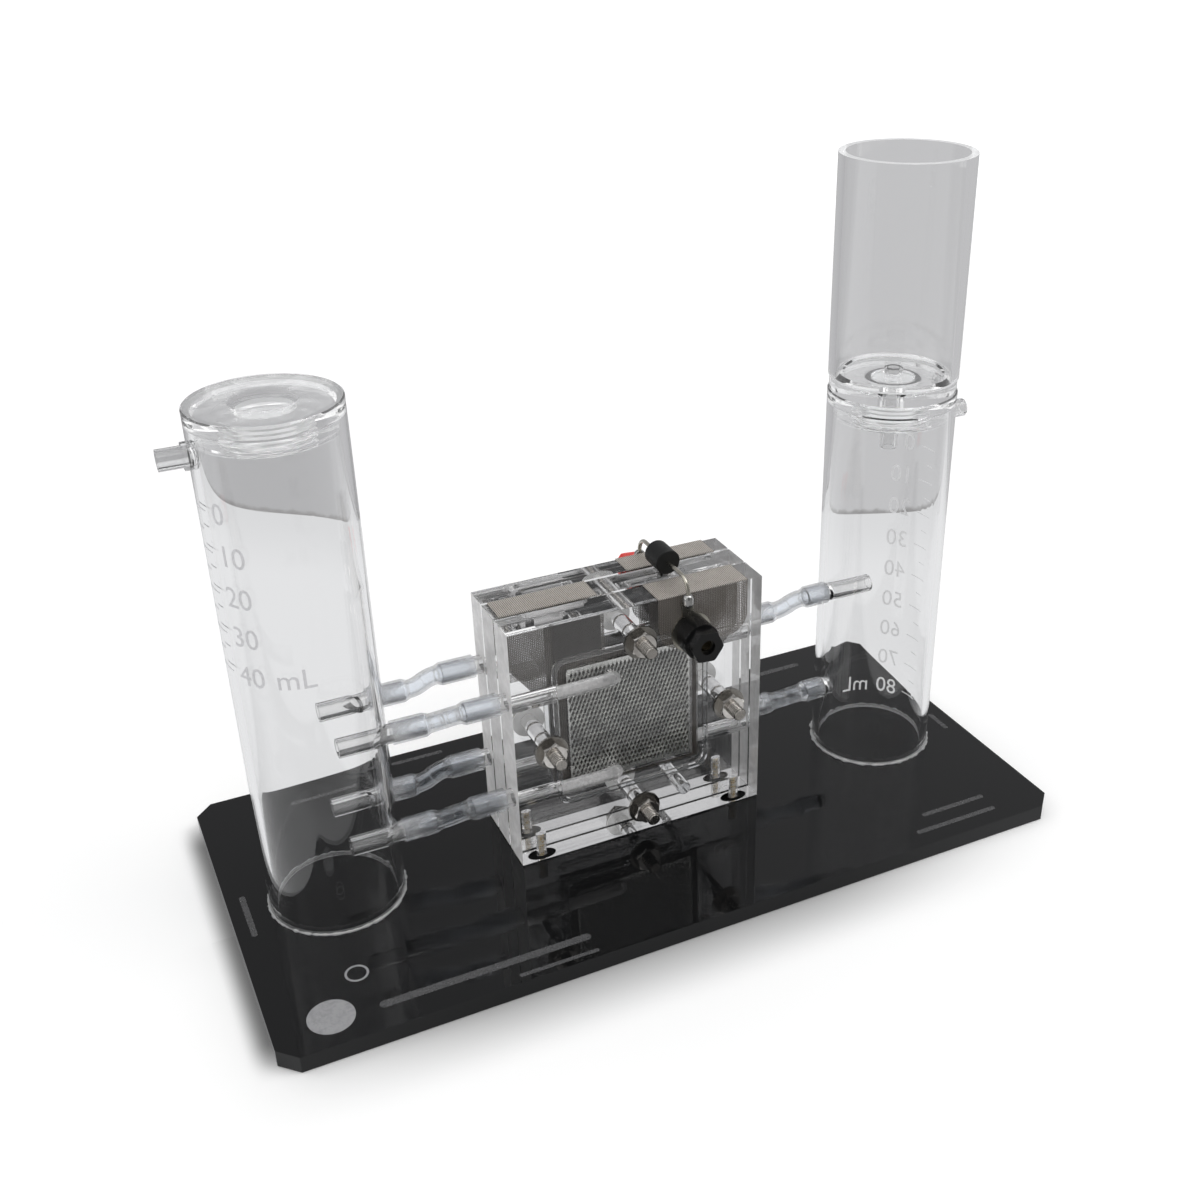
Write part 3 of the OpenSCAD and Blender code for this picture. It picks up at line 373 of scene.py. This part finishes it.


# painted light: each look's glow is a painted glow on the frosted plastic, standing in for light scattered inside it
groundLook = {
    "tone": (0.90, 0.905, 0.91), "second": (0.97, 0.975, 0.98), "grain": 2500.0, "rough": 0.45,
    "through": 0.45, "glow": 0.3,
}
drilledLook = {
    "tone": (0.80, 0.79, 0.79), "second": (0.94, 0.93, 0.93), "grain": 1800.0, "rough": 0.5,
    "through": 0.3, "glow": 0.17,
}


def clearPlastic(name, tone=(1.0, 1.0, 1.0), index=1.49, rough=0.0, tint=(0.95, 0.955, 0.96), milk=0.0,
                 frost=None, frostLook=None, cover=1.0):
    # milk is the share of white that scatters light; frost gives the share of a ground or drilled surface,
    # which looks as frostLook says; a cover below 1 lets part of the view straight through
    f = finish(name)
    coords, x, y, z = f.place()
    wear = f.noise(coords, 90.0, 4.0)
    roughness = wear.ramp(0.55, 0.8, rough, rough + 0.035)
    look = f.add("ShaderNodeBsdfPrincipled", None,
                 {"Base Color": tone, "Roughness": roughness, "IOR": index,
                  "Transmission Weight": 1.0 - milk, "Alpha": cover})["BSDF"]
    if frost is not None:
        facts = frostLook or groundLook
        share = frost(f, coords, x, y, z)
        grain = f.noise(coords, facts["grain"], 3.0)
        # the ground surface carries the look's painted glow
        ground = f.add("ShaderNodeBsdfPrincipled", None,
                       {"Base Color": f.blend(grain, facts["tone"], facts["second"]), "Roughness": facts["rough"],
                        "IOR": index, "Transmission Weight": facts["through"],
                        "Emission Color": facts["second"], "Emission Strength": facts["glow"],
                        "Normal": f.bump(grain, 0.5, 0.1)})["BSDF"]
        look = f.mixed(share, look, ground)
    return f.end(lampsThrough(f, look, tint))


# painted light: the look of metal seen through the clear plates, paler and glowing, standing in for the light that
# reaches it there
paintedLightLook = {"tone": (0.82, 0.81, 0.79), "metallic": 0.3, "rough": 0.3, "glow": (0.2, 0.2, 0.2)}


def metal(name, tone, dark, rough, grooves=None, paintedLightSpan=None):
    # grooves draws a thread; between the two places given in millimetres along Y, the metal is painted light: paler,
    # less metallic and rougher, with a painted glow
    f = finish(name)
    coords, x, y, z = f.place()
    grain = f.noise(coords, 1400.0, 4.0)
    patches = f.noise(coords, 160.0, 3.0)
    height = grain * 0.3
    colour = f.blend(patches.ramp(0.35, 0.7), tone, dark)
    if grooves is not None:
        thread = grooves(f, coords, x, y, z)
        height = height + thread * 2.0
        # painted shade: the colour darkens in the thread's grooves
        colour = f.blend(thread.ramp(-0.7, 0.3), tuple(part * 0.35 for part in dark), colour)
    roughness = grain.ramp(0.3, 0.7, rough * 0.75, rough * 1.25)
    facts = {"Base Color": colour, "Metallic": 1.0, "Roughness": roughness, "Normal": f.bump(height, 0.5, 0.12)}
    if paintedLightSpan is not None:
        # painted light between the two places: paler colour, less metal, more roughness and a painted glow
        inside = (y > paintedLightSpan[0]) * (y < paintedLightSpan[1])
        facts["Base Color"] = f.blend(inside, colour, paintedLightLook["tone"])
        facts["Metallic"] = 1.0 - inside * (1.0 - paintedLightLook["metallic"])
        facts["Roughness"] = roughness + inside * paintedLightLook["rough"]
        facts["Emission Color"] = f.blend(inside, black, paintedLightLook["glow"])
        facts["Emission Strength"] = 1.0
    return f.end(f.add("ShaderNodeBsdfPrincipled", None, facts)["BSDF"])


def plastic(name, tone, second, rough, grainScale=900.0, depth=0.03, shine=0.5):
    f = finish(name)
    coords = f.place()[0]
    grain = f.noise(coords, grainScale, 4.0)
    patches = f.noise(coords, 120.0, 3.0)
    shader = f.add("ShaderNodeBsdfPrincipled", None,
                   {"Base Color": f.blend(patches, tone, second), "Specular IOR Level": shine,
                    "Roughness": grain.ramp(0.3, 0.7, rough * 0.85, rough * 1.2),
                    "Normal": f.bump(grain, 0.35, depth)})["BSDF"]
    return f.end(shader)


def onNode(names, material):
    for name in names:
        data = nodes[name].data
        data.materials.clear()
        data.materials.append(material)


channels = {  # the bores in each plate, and its sawn sides and tapped feet, in millimetres
    "radius": 2.32, "low": 5.2, "high": 24.8, "sideAt": 38.97,
    "footAt": 32.0, "footRadius": 1.7, "footHigh": 13.5,
    "front": {"y": -9.4, "zs": (58.8, 26.8), "side": -1.0},
    "middle": {"y": 1.0, "zs": (60.0, 27.4), "side": 1.0},
    "back": {"y": 10.4, "zs": (60.8, 28.8), "side": -1.0},
}


def channelFrost(plate):
    facts = channels[plate]

    def frost(f, coords, x, y, z):
        share = None
        along = x * facts["side"]
        for height in facts["zs"]:
            away = ((y - facts["y"]) ** 2.0 + (z - height) ** 2.0).root()
            bore = (away < channels["radius"]) * (along > channels["low"]) * (along < channels["high"])
            bore = bore * f.noise(coords, 500.0, 3.0).ramp(0.35, 0.65, 0.6, 0.95)
            share = bore if share is None else share.most(bore)
        sawn = f.noise(coords, 300.0, 3.0)
        side = (abs(x) > channels["sideAt"]) * sawn.ramp(0.3, 0.8, 0.7, 0.86)
        foot = ((abs(x) - channels["footAt"]) ** 2.0 + (y - facts["y"]) ** 2.0).root()
        tapped = (foot < channels["footRadius"]) * (z < channels["footHigh"])
        tapped = tapped * f.noise(coords, 900.0, 2.0).ramp(0.4, 0.6, 0.08, 0.45)
        return share.most(side).most(tapped)
    return frost


cap = {  # a turned cap's ground places: radii, and how far under the top they begin, in millimetres
    "ring": (7.2, 12.2), "ringDown": 8.1, "hole": 7.6, "holeDown": 2.05, "holeShare": 0.5,
    "face": 17.2, "faceDown": 0.5,
}


def capFrost(side, top):
    def frost(f, coords, x, y, z):
        across = x - tankAt * side
        away = (across ** 2.0 + y * y).root()
        ring = (away < cap["ring"][1]) * (away > cap["ring"][0]) * (z < top - cap["ringDown"])
        hole = (away < cap["hole"]) * (z < top - cap["holeDown"])
        # soft streaks from the middle to the rim
        spokes = f.add("ShaderNodeCombineXYZ", None, {"X": y.turnFrom(across), "Y": away * 0.04})["Vector"]
        streaks = f.noise(spokes, 4.0, 2.0).ramp(0.4, 0.7, 0.1, 0.28)
        face = (away < cap["face"]) * (z > top - cap["faceDown"]) * streaks
        return ring.most(hole * cap["holeShare"]).most(face)
    return frost


cupThread = {"radius": 7.1, "high": 124.0, "share": 0.7}


def threadFrost(f, coords, x, y, z):
    away = ((x - tankAt) ** 2.0 + y * y).root()
    return (away < cupThread["radius"]) * (z < cupThread["high"]) * cupThread["share"]


def ringsOf(pitch, axis):
    def rings(f, coords, x, y, z):
        along = {"x": x, "y": y, "z": z}[axis]
        return (along * (2.0 * math.pi / pitch)).sine()
    return rings


def tubeFrost(node):  # a tube's sawn ends
    low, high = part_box(node)
    skin, share = 0.04, 0.7

    def frost(f, coords, x, y, z):
        return (z > high.z * 1000 - skin).most(z < low.z * 1000 + skin) * share
    return frost


clearPart = clearPlastic("clearAcrylicPart", milk=0.07)
tubes = {"oxygen_tank": "clearTubeLeft", "hydrogen_tank": "clearTubeRight", "cup_tube": "clearTubeCup"}
for node, name in tubes.items():
    onNode([node], clearPlastic(name, tint=(0.93, 0.935, 0.94), frost=tubeFrost(node)))
onNode(["oxygen_outlet", "hydrogen_outlet", "oxygen_tank_nozzles", "hydrogen_tank_nozzles", "riser_tube",
        "front_plate_nozzles", "middle_plate_nozzles", "back_plate_nozzles"], clearPart)
onNode(["oxygen_tank_cap"], clearPlastic("turnedCapLeft", frost=capFrost(-1.0, 152.5)))
onNode(["hydrogen_tank_cap"], clearPlastic("turnedCapRight", frost=capFrost(1.0, 126.3)))
onNode(["cup_base"], clearPlastic("turnedCupBase", frost=threadFrost))
for plate in ("front", "middle", "back"):
    onNode([plate + "_plate"], clearPlastic(plate + "PlateAcrylic", frost=channelFrost(plate), frostLook=drilledLook))
onNode(["locating_pin"], clearPlastic("pinPlastic", tone=(0.9, 0.91, 0.92), rough=0.12))
onNode(["front_gasket", "back_gasket"], clearPlastic("clearGasket", tone=(0.88, 0.89, 0.9), index=1.42, rough=0.1))


def smoothCopy(name, node, angle, material):  # the node's own shape with its small facets shaded smooth
    shape = bmesh.new()
    shape.from_mesh(nodes[node].data)
    bmesh.ops.remove_doubles(shape, verts=shape.verts, dist=1e-6)
    piece = newPiece(name, shape, angle)
    piece.data.materials.append(material)
    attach(piece, "root")
    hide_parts(node)


hosePlastic = clearPlastic("clearHose", tone=(0.88, 0.93, 1.0), index=1.42, tint=(0.92, 0.93, 0.95),
                           milk=0.02, cover=0.42)
hoseSharp = 48  # degrees; a hose's edges under this are shaded smooth
for node in [n for n in nodes if n.startswith("hose_")]:
    smoothCopy("smooth_" + node, node, hoseSharp, hosePlastic)

steel = metal("turnedSteel", (0.92, 0.89, 0.85), (0.58, 0.55, 0.52), 0.09)
nickel = metal("nickelPlate", (0.58, 0.56, 0.50), (0.38, 0.36, 0.31), 0.22)
onNode(["stack_nuts"], steel)
behind = (12.0, 14.6)  # millimetres along Y; metal between these two is seen through the plates
# painted light: the washers' and bolts' metal between these places is painted pale and glowing
onNode(["stack_washers"], metal("washerSteel", (0.36, 0.345, 0.32), (0.22, 0.21, 0.195), 0.2, paintedLightSpan=behind))
onNode(["stack_bolts"], metal("threadedSteel", (0.54, 0.51, 0.48), (0.40, 0.38, 0.35), 0.24,
                              grooves=ringsOf(0.7, "y"), paintedLightSpan=behind))
onNode(["foot_screws"], metal("threadedBrass", (0.80, 0.70, 0.50), (0.42, 0.29, 0.12), 0.34,
                              grooves=ringsOf(0.6, "z")))
onNode(["black_socket_sleeve", "red_socket_sleeve", "black_solder_tag", "red_solder_tag", "diode_leads"], nickel)
onNode(["solder_joints"], metal("solder", (0.55, 0.55, 0.54), (0.13, 0.13, 0.13), 0.16))
onNode(["foot_washers", "cup_seal"], plastic("blackRubber", (0.012, 0.012, 0.012), (0.02, 0.02, 0.021), 0.5))
onNode(["black_socket"], plastic("blackPlastic", (0.0045, 0.0045, 0.0045), (0.008, 0.008, 0.0085), 0.2,
                                 depth=0.006, shine=0.36))
onNode(["diode_body"], plastic("mouldedBlack", (0.007, 0.0075, 0.0075), (0.011, 0.0115, 0.0115), 0.42,
                               depth=0.006, shine=0.22))
redPlastic = plastic("redPlastic", (0.80, 0.02, 0.012), (0.90, 0.035, 0.02), 0.3, depth=0.006)
onNode(["red_socket"], redPlastic)


base = {
    "tone": (0.0055, 0.0057, 0.006), "speck": (0.05, 0.05, 0.05), "specks": 0.35,
    "rough": (0.015, 0.05), "sideRough": 0.12, "shine": 0.31, "top": 5.0,
}


def baseFinish():
    f = finish("blackAcrylic")
    coords, _, _, z = f.place()
    dust = f.noise(coords, 60.0, 5.0)
    specks = f.noise(coords, 1600.0, 2.0).ramp(0.72, 0.8)
    sides = z < base["top"] - 0.03
    shader = f.add("ShaderNodeBsdfPrincipled", None,
                   {"Base Color": f.blend(specks * base["specks"], base["tone"], base["speck"]),
                    "Roughness": dust.ramp(0.4, 0.75, *base["rough"]) + sides * base["sideRough"],
                    "Specular IOR Level": base["shine"], "Normal": f.bump(dust, 0.05, 0.02)})["BSDF"]
    return f.end(shader)


onNode(["base_plate"], baseFinish())


# painted light: the top fold's tones are painted far lighter than the faces', as if lit from above, and its dark tone
# is painted shade
woven = {
    "tone": (0.30, 0.275, 0.25), "dark": (0.09, 0.08, 0.07),
    "topTone": (0.92, 0.855, 0.78), "topDark": (0.13, 0.115, 0.10),
    "pitch": 0.55, "gap": 0.74, "rough": (0.36, 0.48), "skin": 0.03, "foldUp": 0.1,
}


def wovenFinish(name, plate):
    # the faces that lie on the plate are left open, so that the gaps between the wires show what is behind
    facts = woven
    skin = facts["skin"]
    low, high = (corner * 1000 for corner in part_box(plate))
    f = finish(name)
    coords, x, y, z = f.place()
    turns = math.pi / facts["pitch"]
    across = abs((x * turns).sine())
    up = abs(((z + y) * turns).sine())
    crown = across * up
    patches = f.noise(coords, 220.0, 3.0)
    hole = across.most(up) < facts["gap"]
    lying = (abs(y - low.y) < skin).most(abs(y - high.y) < skin).most(abs(z - high.z) < skin)
    top = z > high.z + facts["foldUp"]
    # darker between the wire crowns: partly the weave's own pattern and partly painted shade in the dips, with random
    # patches
    shade = (1.0 - crown) * 0.8 + patches * 0.25
    face = f.blend(shade, facts["tone"], facts["dark"])
    # painted light on the top fold, with its gaps and dips painted dark as painted shade
    fold = f.blend((shade + hole * 0.6).least(1.0), facts["topTone"], facts["topDark"])
    colour = f.blend(top, face, fold)
    wire = f.add("ShaderNodeBsdfPrincipled", None,
                 {"Base Color": colour, "Metallic": 0.5, "Roughness": patches.ramp(0.3, 0.7, *facts["rough"]),
                  "Alpha": (1.0 - hole * (1.0 - top * 0.7)) * (1.0 - lying),
                  "Normal": f.bump(across + up, 0.7, 0.12)})["BSDF"]
    return f.end(wire)


onNode(["front_collector"], wovenFinish("wovenFront", "front_plate"))
onNode(["back_collector"], wovenFinish("wovenBack", "back_plate"))
onNode(["link_strip"], wovenFinish("wovenLink", "middle_plate"))
onNode(["front_membrane", "back_membrane"], plastic("membrane", (0.115, 0.104, 0.096), (0.16, 0.146, 0.135), 0.6,
                                                    grainScale=1800.0, depth=0.08))
print("finishes set")


expandedMetal = {"pitchX": 1.28, "pitchZ": 3.12, "strand": 0.17, "lean": 0.42, "thick": 0.24, "count": 42}


def makeExpandedMetal(name, node):
    facts = expandedMetal
    low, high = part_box(node)
    middle = (low + high) / 2
    wide, tall = high.x - low.x, high.z - low.z
    shape = bmesh.new()
    count = facts["count"]
    bmesh.ops.create_grid(shape, x_segments=count, y_segments=count, size=count / 2)
    turnOn(shape, math.radians(45), "Z")
    diagonal = math.sqrt(2)  # of a cell, which is 1 wide
    cell = (facts["pitchX"] * mm / diagonal, facts["pitchZ"] * mm / diagonal, 1)
    bmesh.ops.scale(shape, verts=shape.verts, vec=cell)
    for axis, size in ((0, wide), (1, tall)):
        for sign in (-1, 1):
            point = [0, 0, 0]
            point[axis] = sign * size / 2
            normal = [0, 0, 0]
            normal[axis] = sign
            bmesh.ops.bisect_plane(shape, geom=shape.verts[:] + shape.edges[:] + shape.faces[:],
                                   plane_co=point, plane_no=normal, clear_outer=True)
    wholeCell = facts["pitchX"] * facts["pitchZ"] / 2 * mm * mm
    cells = [face for face in shape.faces if len(face.verts) == 4 and face.calc_area() > 0.9 * wholeCell]
    bmesh.ops.inset_individual(shape, faces=cells, thickness=facts["strand"] * mm, use_even_offset=True)
    for face in cells:
        middleY = face.calc_center_median().y
        for vert in face.verts:
            vert.co.z += facts["lean"] * mm * (vert.co.y - middleY) / (facts["pitchZ"] * mm / 2)
    bmesh.ops.delete(shape, geom=cells, context="FACES_ONLY")
    bmesh.ops.solidify(shape, geom=shape.faces[:], thickness=facts["thick"] * mm)
    turnOn(shape, math.radians(90), "X")
    bmesh.ops.translate(shape, verts=shape.verts, vec=middle)
    bmesh.ops.recalc_face_normals(shape, faces=shape.faces)
    piece = newPiece(name, shape)
    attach(piece, "root")
    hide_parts(node)
    return piece


titanium = metal("expandedTitanium", (0.60, 0.60, 0.58), (0.42, 0.42, 0.41), 0.3)
for node in ("front_flow_mesh", "middle_front_flow_mesh", "middle_back_flow_mesh", "back_flow_mesh"):
    piece = makeExpandedMetal("fine_" + node, node)
    piece.data.materials.append(titanium)
    print("expanded metal", node, len(piece.data.polygons), "faces")


scalePrint = {
    "radius": 19.0, "height": 5.6, "line": 0.35, "proud": 0.06, "off": 0.01,
    "cut": 0.6, "cuts": 60, "capShare": 0.7,
    "longTick": (-182.0, -162.0), "shortTick": (-180.0, -170.5), "digits": -153.5, "unit": -121.5,
    "leftTop": 129.7, "leftStep": 10.95, "leftCount": 5,
    "rightTop": 102.6, "rightStep": 11.12, "rightCount": 9,
}


def wrapOn(shape, tankX, turnDeg, up):
    # bends a flat drawing, in millimetres, round a tank; x runs along the wall and y up
    facts = scalePrint
    for step in range(-facts["cuts"], facts["cuts"] + 1):
        geometry = shape.verts[:] + shape.edges[:] + shape.faces[:]
        bmesh.ops.bisect_plane(shape, geom=geometry, plane_co=(step * facts["cut"], 0, 0), plane_no=(1, 0, 0))
    bmesh.ops.solidify(shape, geom=shape.faces[:], thickness=facts["proud"])
    bmesh.ops.recalc_face_normals(shape, faces=shape.faces)
    lowest = min(vert.co.z for vert in shape.verts)
    for vert in shape.verts:
        away = facts["radius"] + facts["off"] + vert.co.z - lowest
        angle = math.radians(turnDeg) + vert.co.x / facts["radius"]
        vert.co = ((tankX + away * math.cos(angle)) * mm, away * math.sin(angle) * mm, (up + vert.co.y) * mm)


def wordShape(text, height):
    curve = bpy.data.curves.new("word", "FONT")
    curve.body = text
    curve.size = height / scalePrint["capShare"]
    curve.align_y = "CENTER"
    curve.resolution_u = 3
    lettering = bpy.data.objects.new("word", curve)
    scene.collection.objects.link(lettering)
    bpy.context.view_layer.update()
    data = bpy.data.meshes.new_from_object(lettering.evaluated_get(bpy.context.evaluated_depsgraph_get()))
    shape = bmesh.new()
    shape.from_mesh(data)
    bmesh.ops.remove_doubles(shape, verts=shape.verts, dist=1e-4)
    bpy.data.objects.remove(lettering)
    bpy.data.meshes.remove(data)
    return shape


def makeScale(name, tankX, half, top, step, count, ink):
    facts = scalePrint
    whole = bmesh.new()
    jobs = []
    for row in range(2 * count - 1):
        first, last = facts["longTick"] if row % 2 == 0 else facts["shortTick"]
        shape = bmesh.new()
        bmesh.ops.create_grid(shape, x_segments=1, y_segments=1, size=0.5)
        length = math.radians(last - first) * facts["radius"]
        bmesh.ops.scale(shape, verts=shape.verts, vec=(length, facts["line"], 1))
        jobs.append((shape, (first + last) / 2, top - row * step / 2))
    for row in range(count):
        jobs.append((wordShape(str(10 * row), facts["height"]), facts["digits"], top - row * step))
    jobs.append((wordShape("mL", facts["height"]), facts["unit"], top - (count - 1) * step))
    for shape, turnDeg, up in jobs:
        wrapOn(shape, tankX, turnDeg + half, up)
        data = bpy.data.meshes.new("part")
        shape.to_mesh(data)
        shape.free()
        whole.from_mesh(data)
        bpy.data.meshes.remove(data)
    piece = newPiece(name, whole)
    piece.data.materials.append(ink)
    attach(piece, "root")
    return piece


def inkFinish(name, tone, glow, cover):
    f = finish(name)
    coords = f.place()[0]
    wear = f.noise(coords, 700.0, 3.0)
    # glow is a painted glow that makes the print look lit
    shader = f.add("ShaderNodeBsdfPrincipled", None,
                   {"Base Color": f.blend(wear, tuple(part * 0.85 for part in tone), tone), "Roughness": 0.55,
                    "Emission Color": (1.0, 1.0, 1.0), "Emission Strength": glow,
                    "Alpha": wear.ramp(0.3, 0.6, cover - 0.12, cover)})["BSDF"]
    return f.end(shader)


# painted light: the right scale, facing away from the light, gets a much stronger painted glow than the left
makeScale("oxygen_scale", -tankAt, 0.0, scalePrint["leftTop"], scalePrint["leftStep"], scalePrint["leftCount"],
          inkFinish("palePrintLeft", (0.60, 0.60, 0.62), 0.10, 0.86))
makeScale("hydrogen_scale", tankAt, 180.0, scalePrint["rightTop"], scalePrint["rightStep"], scalePrint["rightCount"],
          inkFinish("palePrintRight", (0.62, 0.62, 0.64), 0.45, 0.82))
print("scales printed")


glueRing = {
    "radius": 19.2, "thick": 0.42, "up": 5.12, "sides": 8, "steps": 220, "least": 0.22,
    "round": 6.0, "waves": 1.7, "wave": 1.3, "dropsFine": 5.0, "drops": 0.8, "sharp": 60,
}


def makeGlue(name, tankX):
    facts = glueRing
    shape = bmesh.new()
    bmesh.ops.create_circle(shape, segments=facts["sides"], radius=facts["thick"] * mm)
    turnOn(shape, math.radians(90), "X")
    bmesh.ops.translate(shape, verts=shape.verts, vec=(facts["radius"] * mm, 0, 0))
    bmesh.ops.spin(shape, geom=shape.verts[:] + shape.edges[:], cent=(0, 0, 0), axis=(0, 0, 1),
                   angle=math.tau, steps=facts["steps"], use_merge=True)
    bmesh.ops.remove_doubles(shape, verts=shape.verts, dist=1e-6)
    for vert in shape.verts:
        turned = math.atan2(vert.co.y, vert.co.x)
        spot = Vector((math.cos(turned) * facts["round"], math.sin(turned) * facts["round"], tankX))
        swell = 1.0 + facts["wave"] * noise.noise(spot * facts["waves"])
        swell = swell + facts["drops"] * noise.noise(spot * facts["dropsFine"])
        ring = Vector((math.cos(turned), math.sin(turned), 0)) * facts["radius"] * mm
        vert.co = ring + (vert.co - ring) * max(facts["least"], swell)
    bmesh.ops.translate(shape, verts=shape.verts, vec=(tankX * mm, 0, facts["up"] * mm))
    bmesh.ops.recalc_face_normals(shape, faces=shape.faces)
    piece = newPiece(name, shape, facts["sharp"])
    piece.data.materials.append(gluePlastic)
    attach(piece, "root")


gluePlastic = clearPlastic("setGlue", tone=(0.95, 0.95, 0.95), rough=0.12, milk=0.4)
makeGlue("oxygen_tank_glue", -tankAt)
makeGlue("hydrogen_tank_glue", tankAt)
print("glue laid")


redSocket = {"longer": 2.6, "from": 5.0, "sharp": 30}  # longer is what the back socket's body gains, in millimetres


def makeRedSocket():
    facts = redSocket
    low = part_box("red_socket")[0]
    shape = bmesh.new()
    shape.from_mesh(nodes["red_socket"].data)
    bmesh.ops.remove_doubles(shape, verts=shape.verts, dist=1e-6)
    for vert in shape.verts:
        if vert.co.y > low.y + facts["from"] * mm:
            vert.co.y += facts["longer"] * mm
    piece = newPiece("red_socket_body", shape, facts["sharp"])
    piece.data.materials.append(redPlastic)
    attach(piece, "root")
    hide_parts("red_socket")


makeRedSocket()
solder = {"grain": 0.22, "soften": 0.6, "rounds": 9}
melt = nodes["solder_joints"].modifiers.new("melt", "REMESH")  # the solder set in soft drops
melt.mode = "VOXEL"
melt.voxel_size = solder["grain"] * mm
melt.use_smooth_shade = True
flow = nodes["solder_joints"].modifiers.new("flow", "SMOOTH")
flow.factor = solder["soften"]
flow.iterations = solder["rounds"]
print("sockets and solder shaped")


basePrint = {
    # a ring's middle, radius and line; a disc's middle and radius; each bar's two ends and width
    "up": 5.01, "proud": 0.03, "marks": 0.40, "lines": 0.085, "cover": 0.75,
    "ring": (-94.4, -36.0, 3.2, 0.62), "disc": (-104.5, -48.7, 6.2),
    "bars": ((-91.0, -50.4, -34.5, -50.4, 2.6), (-55.5, -56.5, -34.0, -56.5, 1.3), (-115.4, 8.6, -115.4, -8.4, 1.7),
             (80.0, -46.4, 101.0, -46.4, 1.7), (73.5, -52.9, 100.5, -52.9, 1.7), (114.8, -0.5, 114.8, -9.0, 1.7),
             (76.5, 49.6, 91.0, 49.6, 2.2), (-94.4, 49.4, -68.0, 49.4, 1.6), (-57.4, 54.4, -42.0, 54.4, 1.7)),
}


def makeBasePrint():
    # pale plain shapes on the base: a ring and a disc, and fainter round-ended bars
    facts = basePrint
    marks = bmesh.new()
    x, y, radius, line = facts["ring"]
    ring = bmesh.ops.create_circle(marks, segments=48, radius=radius)["verts"]
    inner = bmesh.ops.create_circle(marks, segments=48, radius=radius - line)["verts"]
    bmesh.ops.bridge_loops(marks, edges=marks.edges[:])
    bmesh.ops.translate(marks, verts=ring + inner, vec=(x, y, 0))
    x, y, radius = facts["disc"]
    disc = bmesh.ops.create_circle(marks, segments=64, radius=radius, cap_ends=True)["verts"]
    bmesh.ops.translate(marks, verts=disc, vec=(x, y, 0))
    lines = bmesh.new()
    for x0, y0, x1, y1, thick in facts["bars"]:
        start, end = Vector((x0, y0, 0)), Vector((x1, y1, 0))
        bar = bmesh.ops.create_circle(lines, segments=24, radius=thick / 2, cap_ends=True)["verts"]
        along = (end - start).normalized()
        for vert in bar:
            vert.co += end if vert.co.dot(along) > 0 else start
    for name, shape, tone in (("base_marks", marks, facts["marks"]), ("base_lines", lines, facts["lines"])):
        bmesh.ops.solidify(shape, geom=shape.faces[:], thickness=facts["proud"])
        bmesh.ops.recalc_face_normals(shape, faces=shape.faces)
        lowest = min(vert.co.z for vert in shape.verts)
        bmesh.ops.translate(shape, verts=shape.verts, vec=(0, 0, facts["up"] - lowest))
        bmesh.ops.scale(shape, verts=shape.verts, vec=(mm, mm, mm))
        piece = newPiece(name, shape)
        piece.data.materials.append(inkFinish(name + "Ink", (tone, tone, tone * 1.03), 0.0, facts["cover"]))
        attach(piece, "root")


makeBasePrint()
print("base printed")
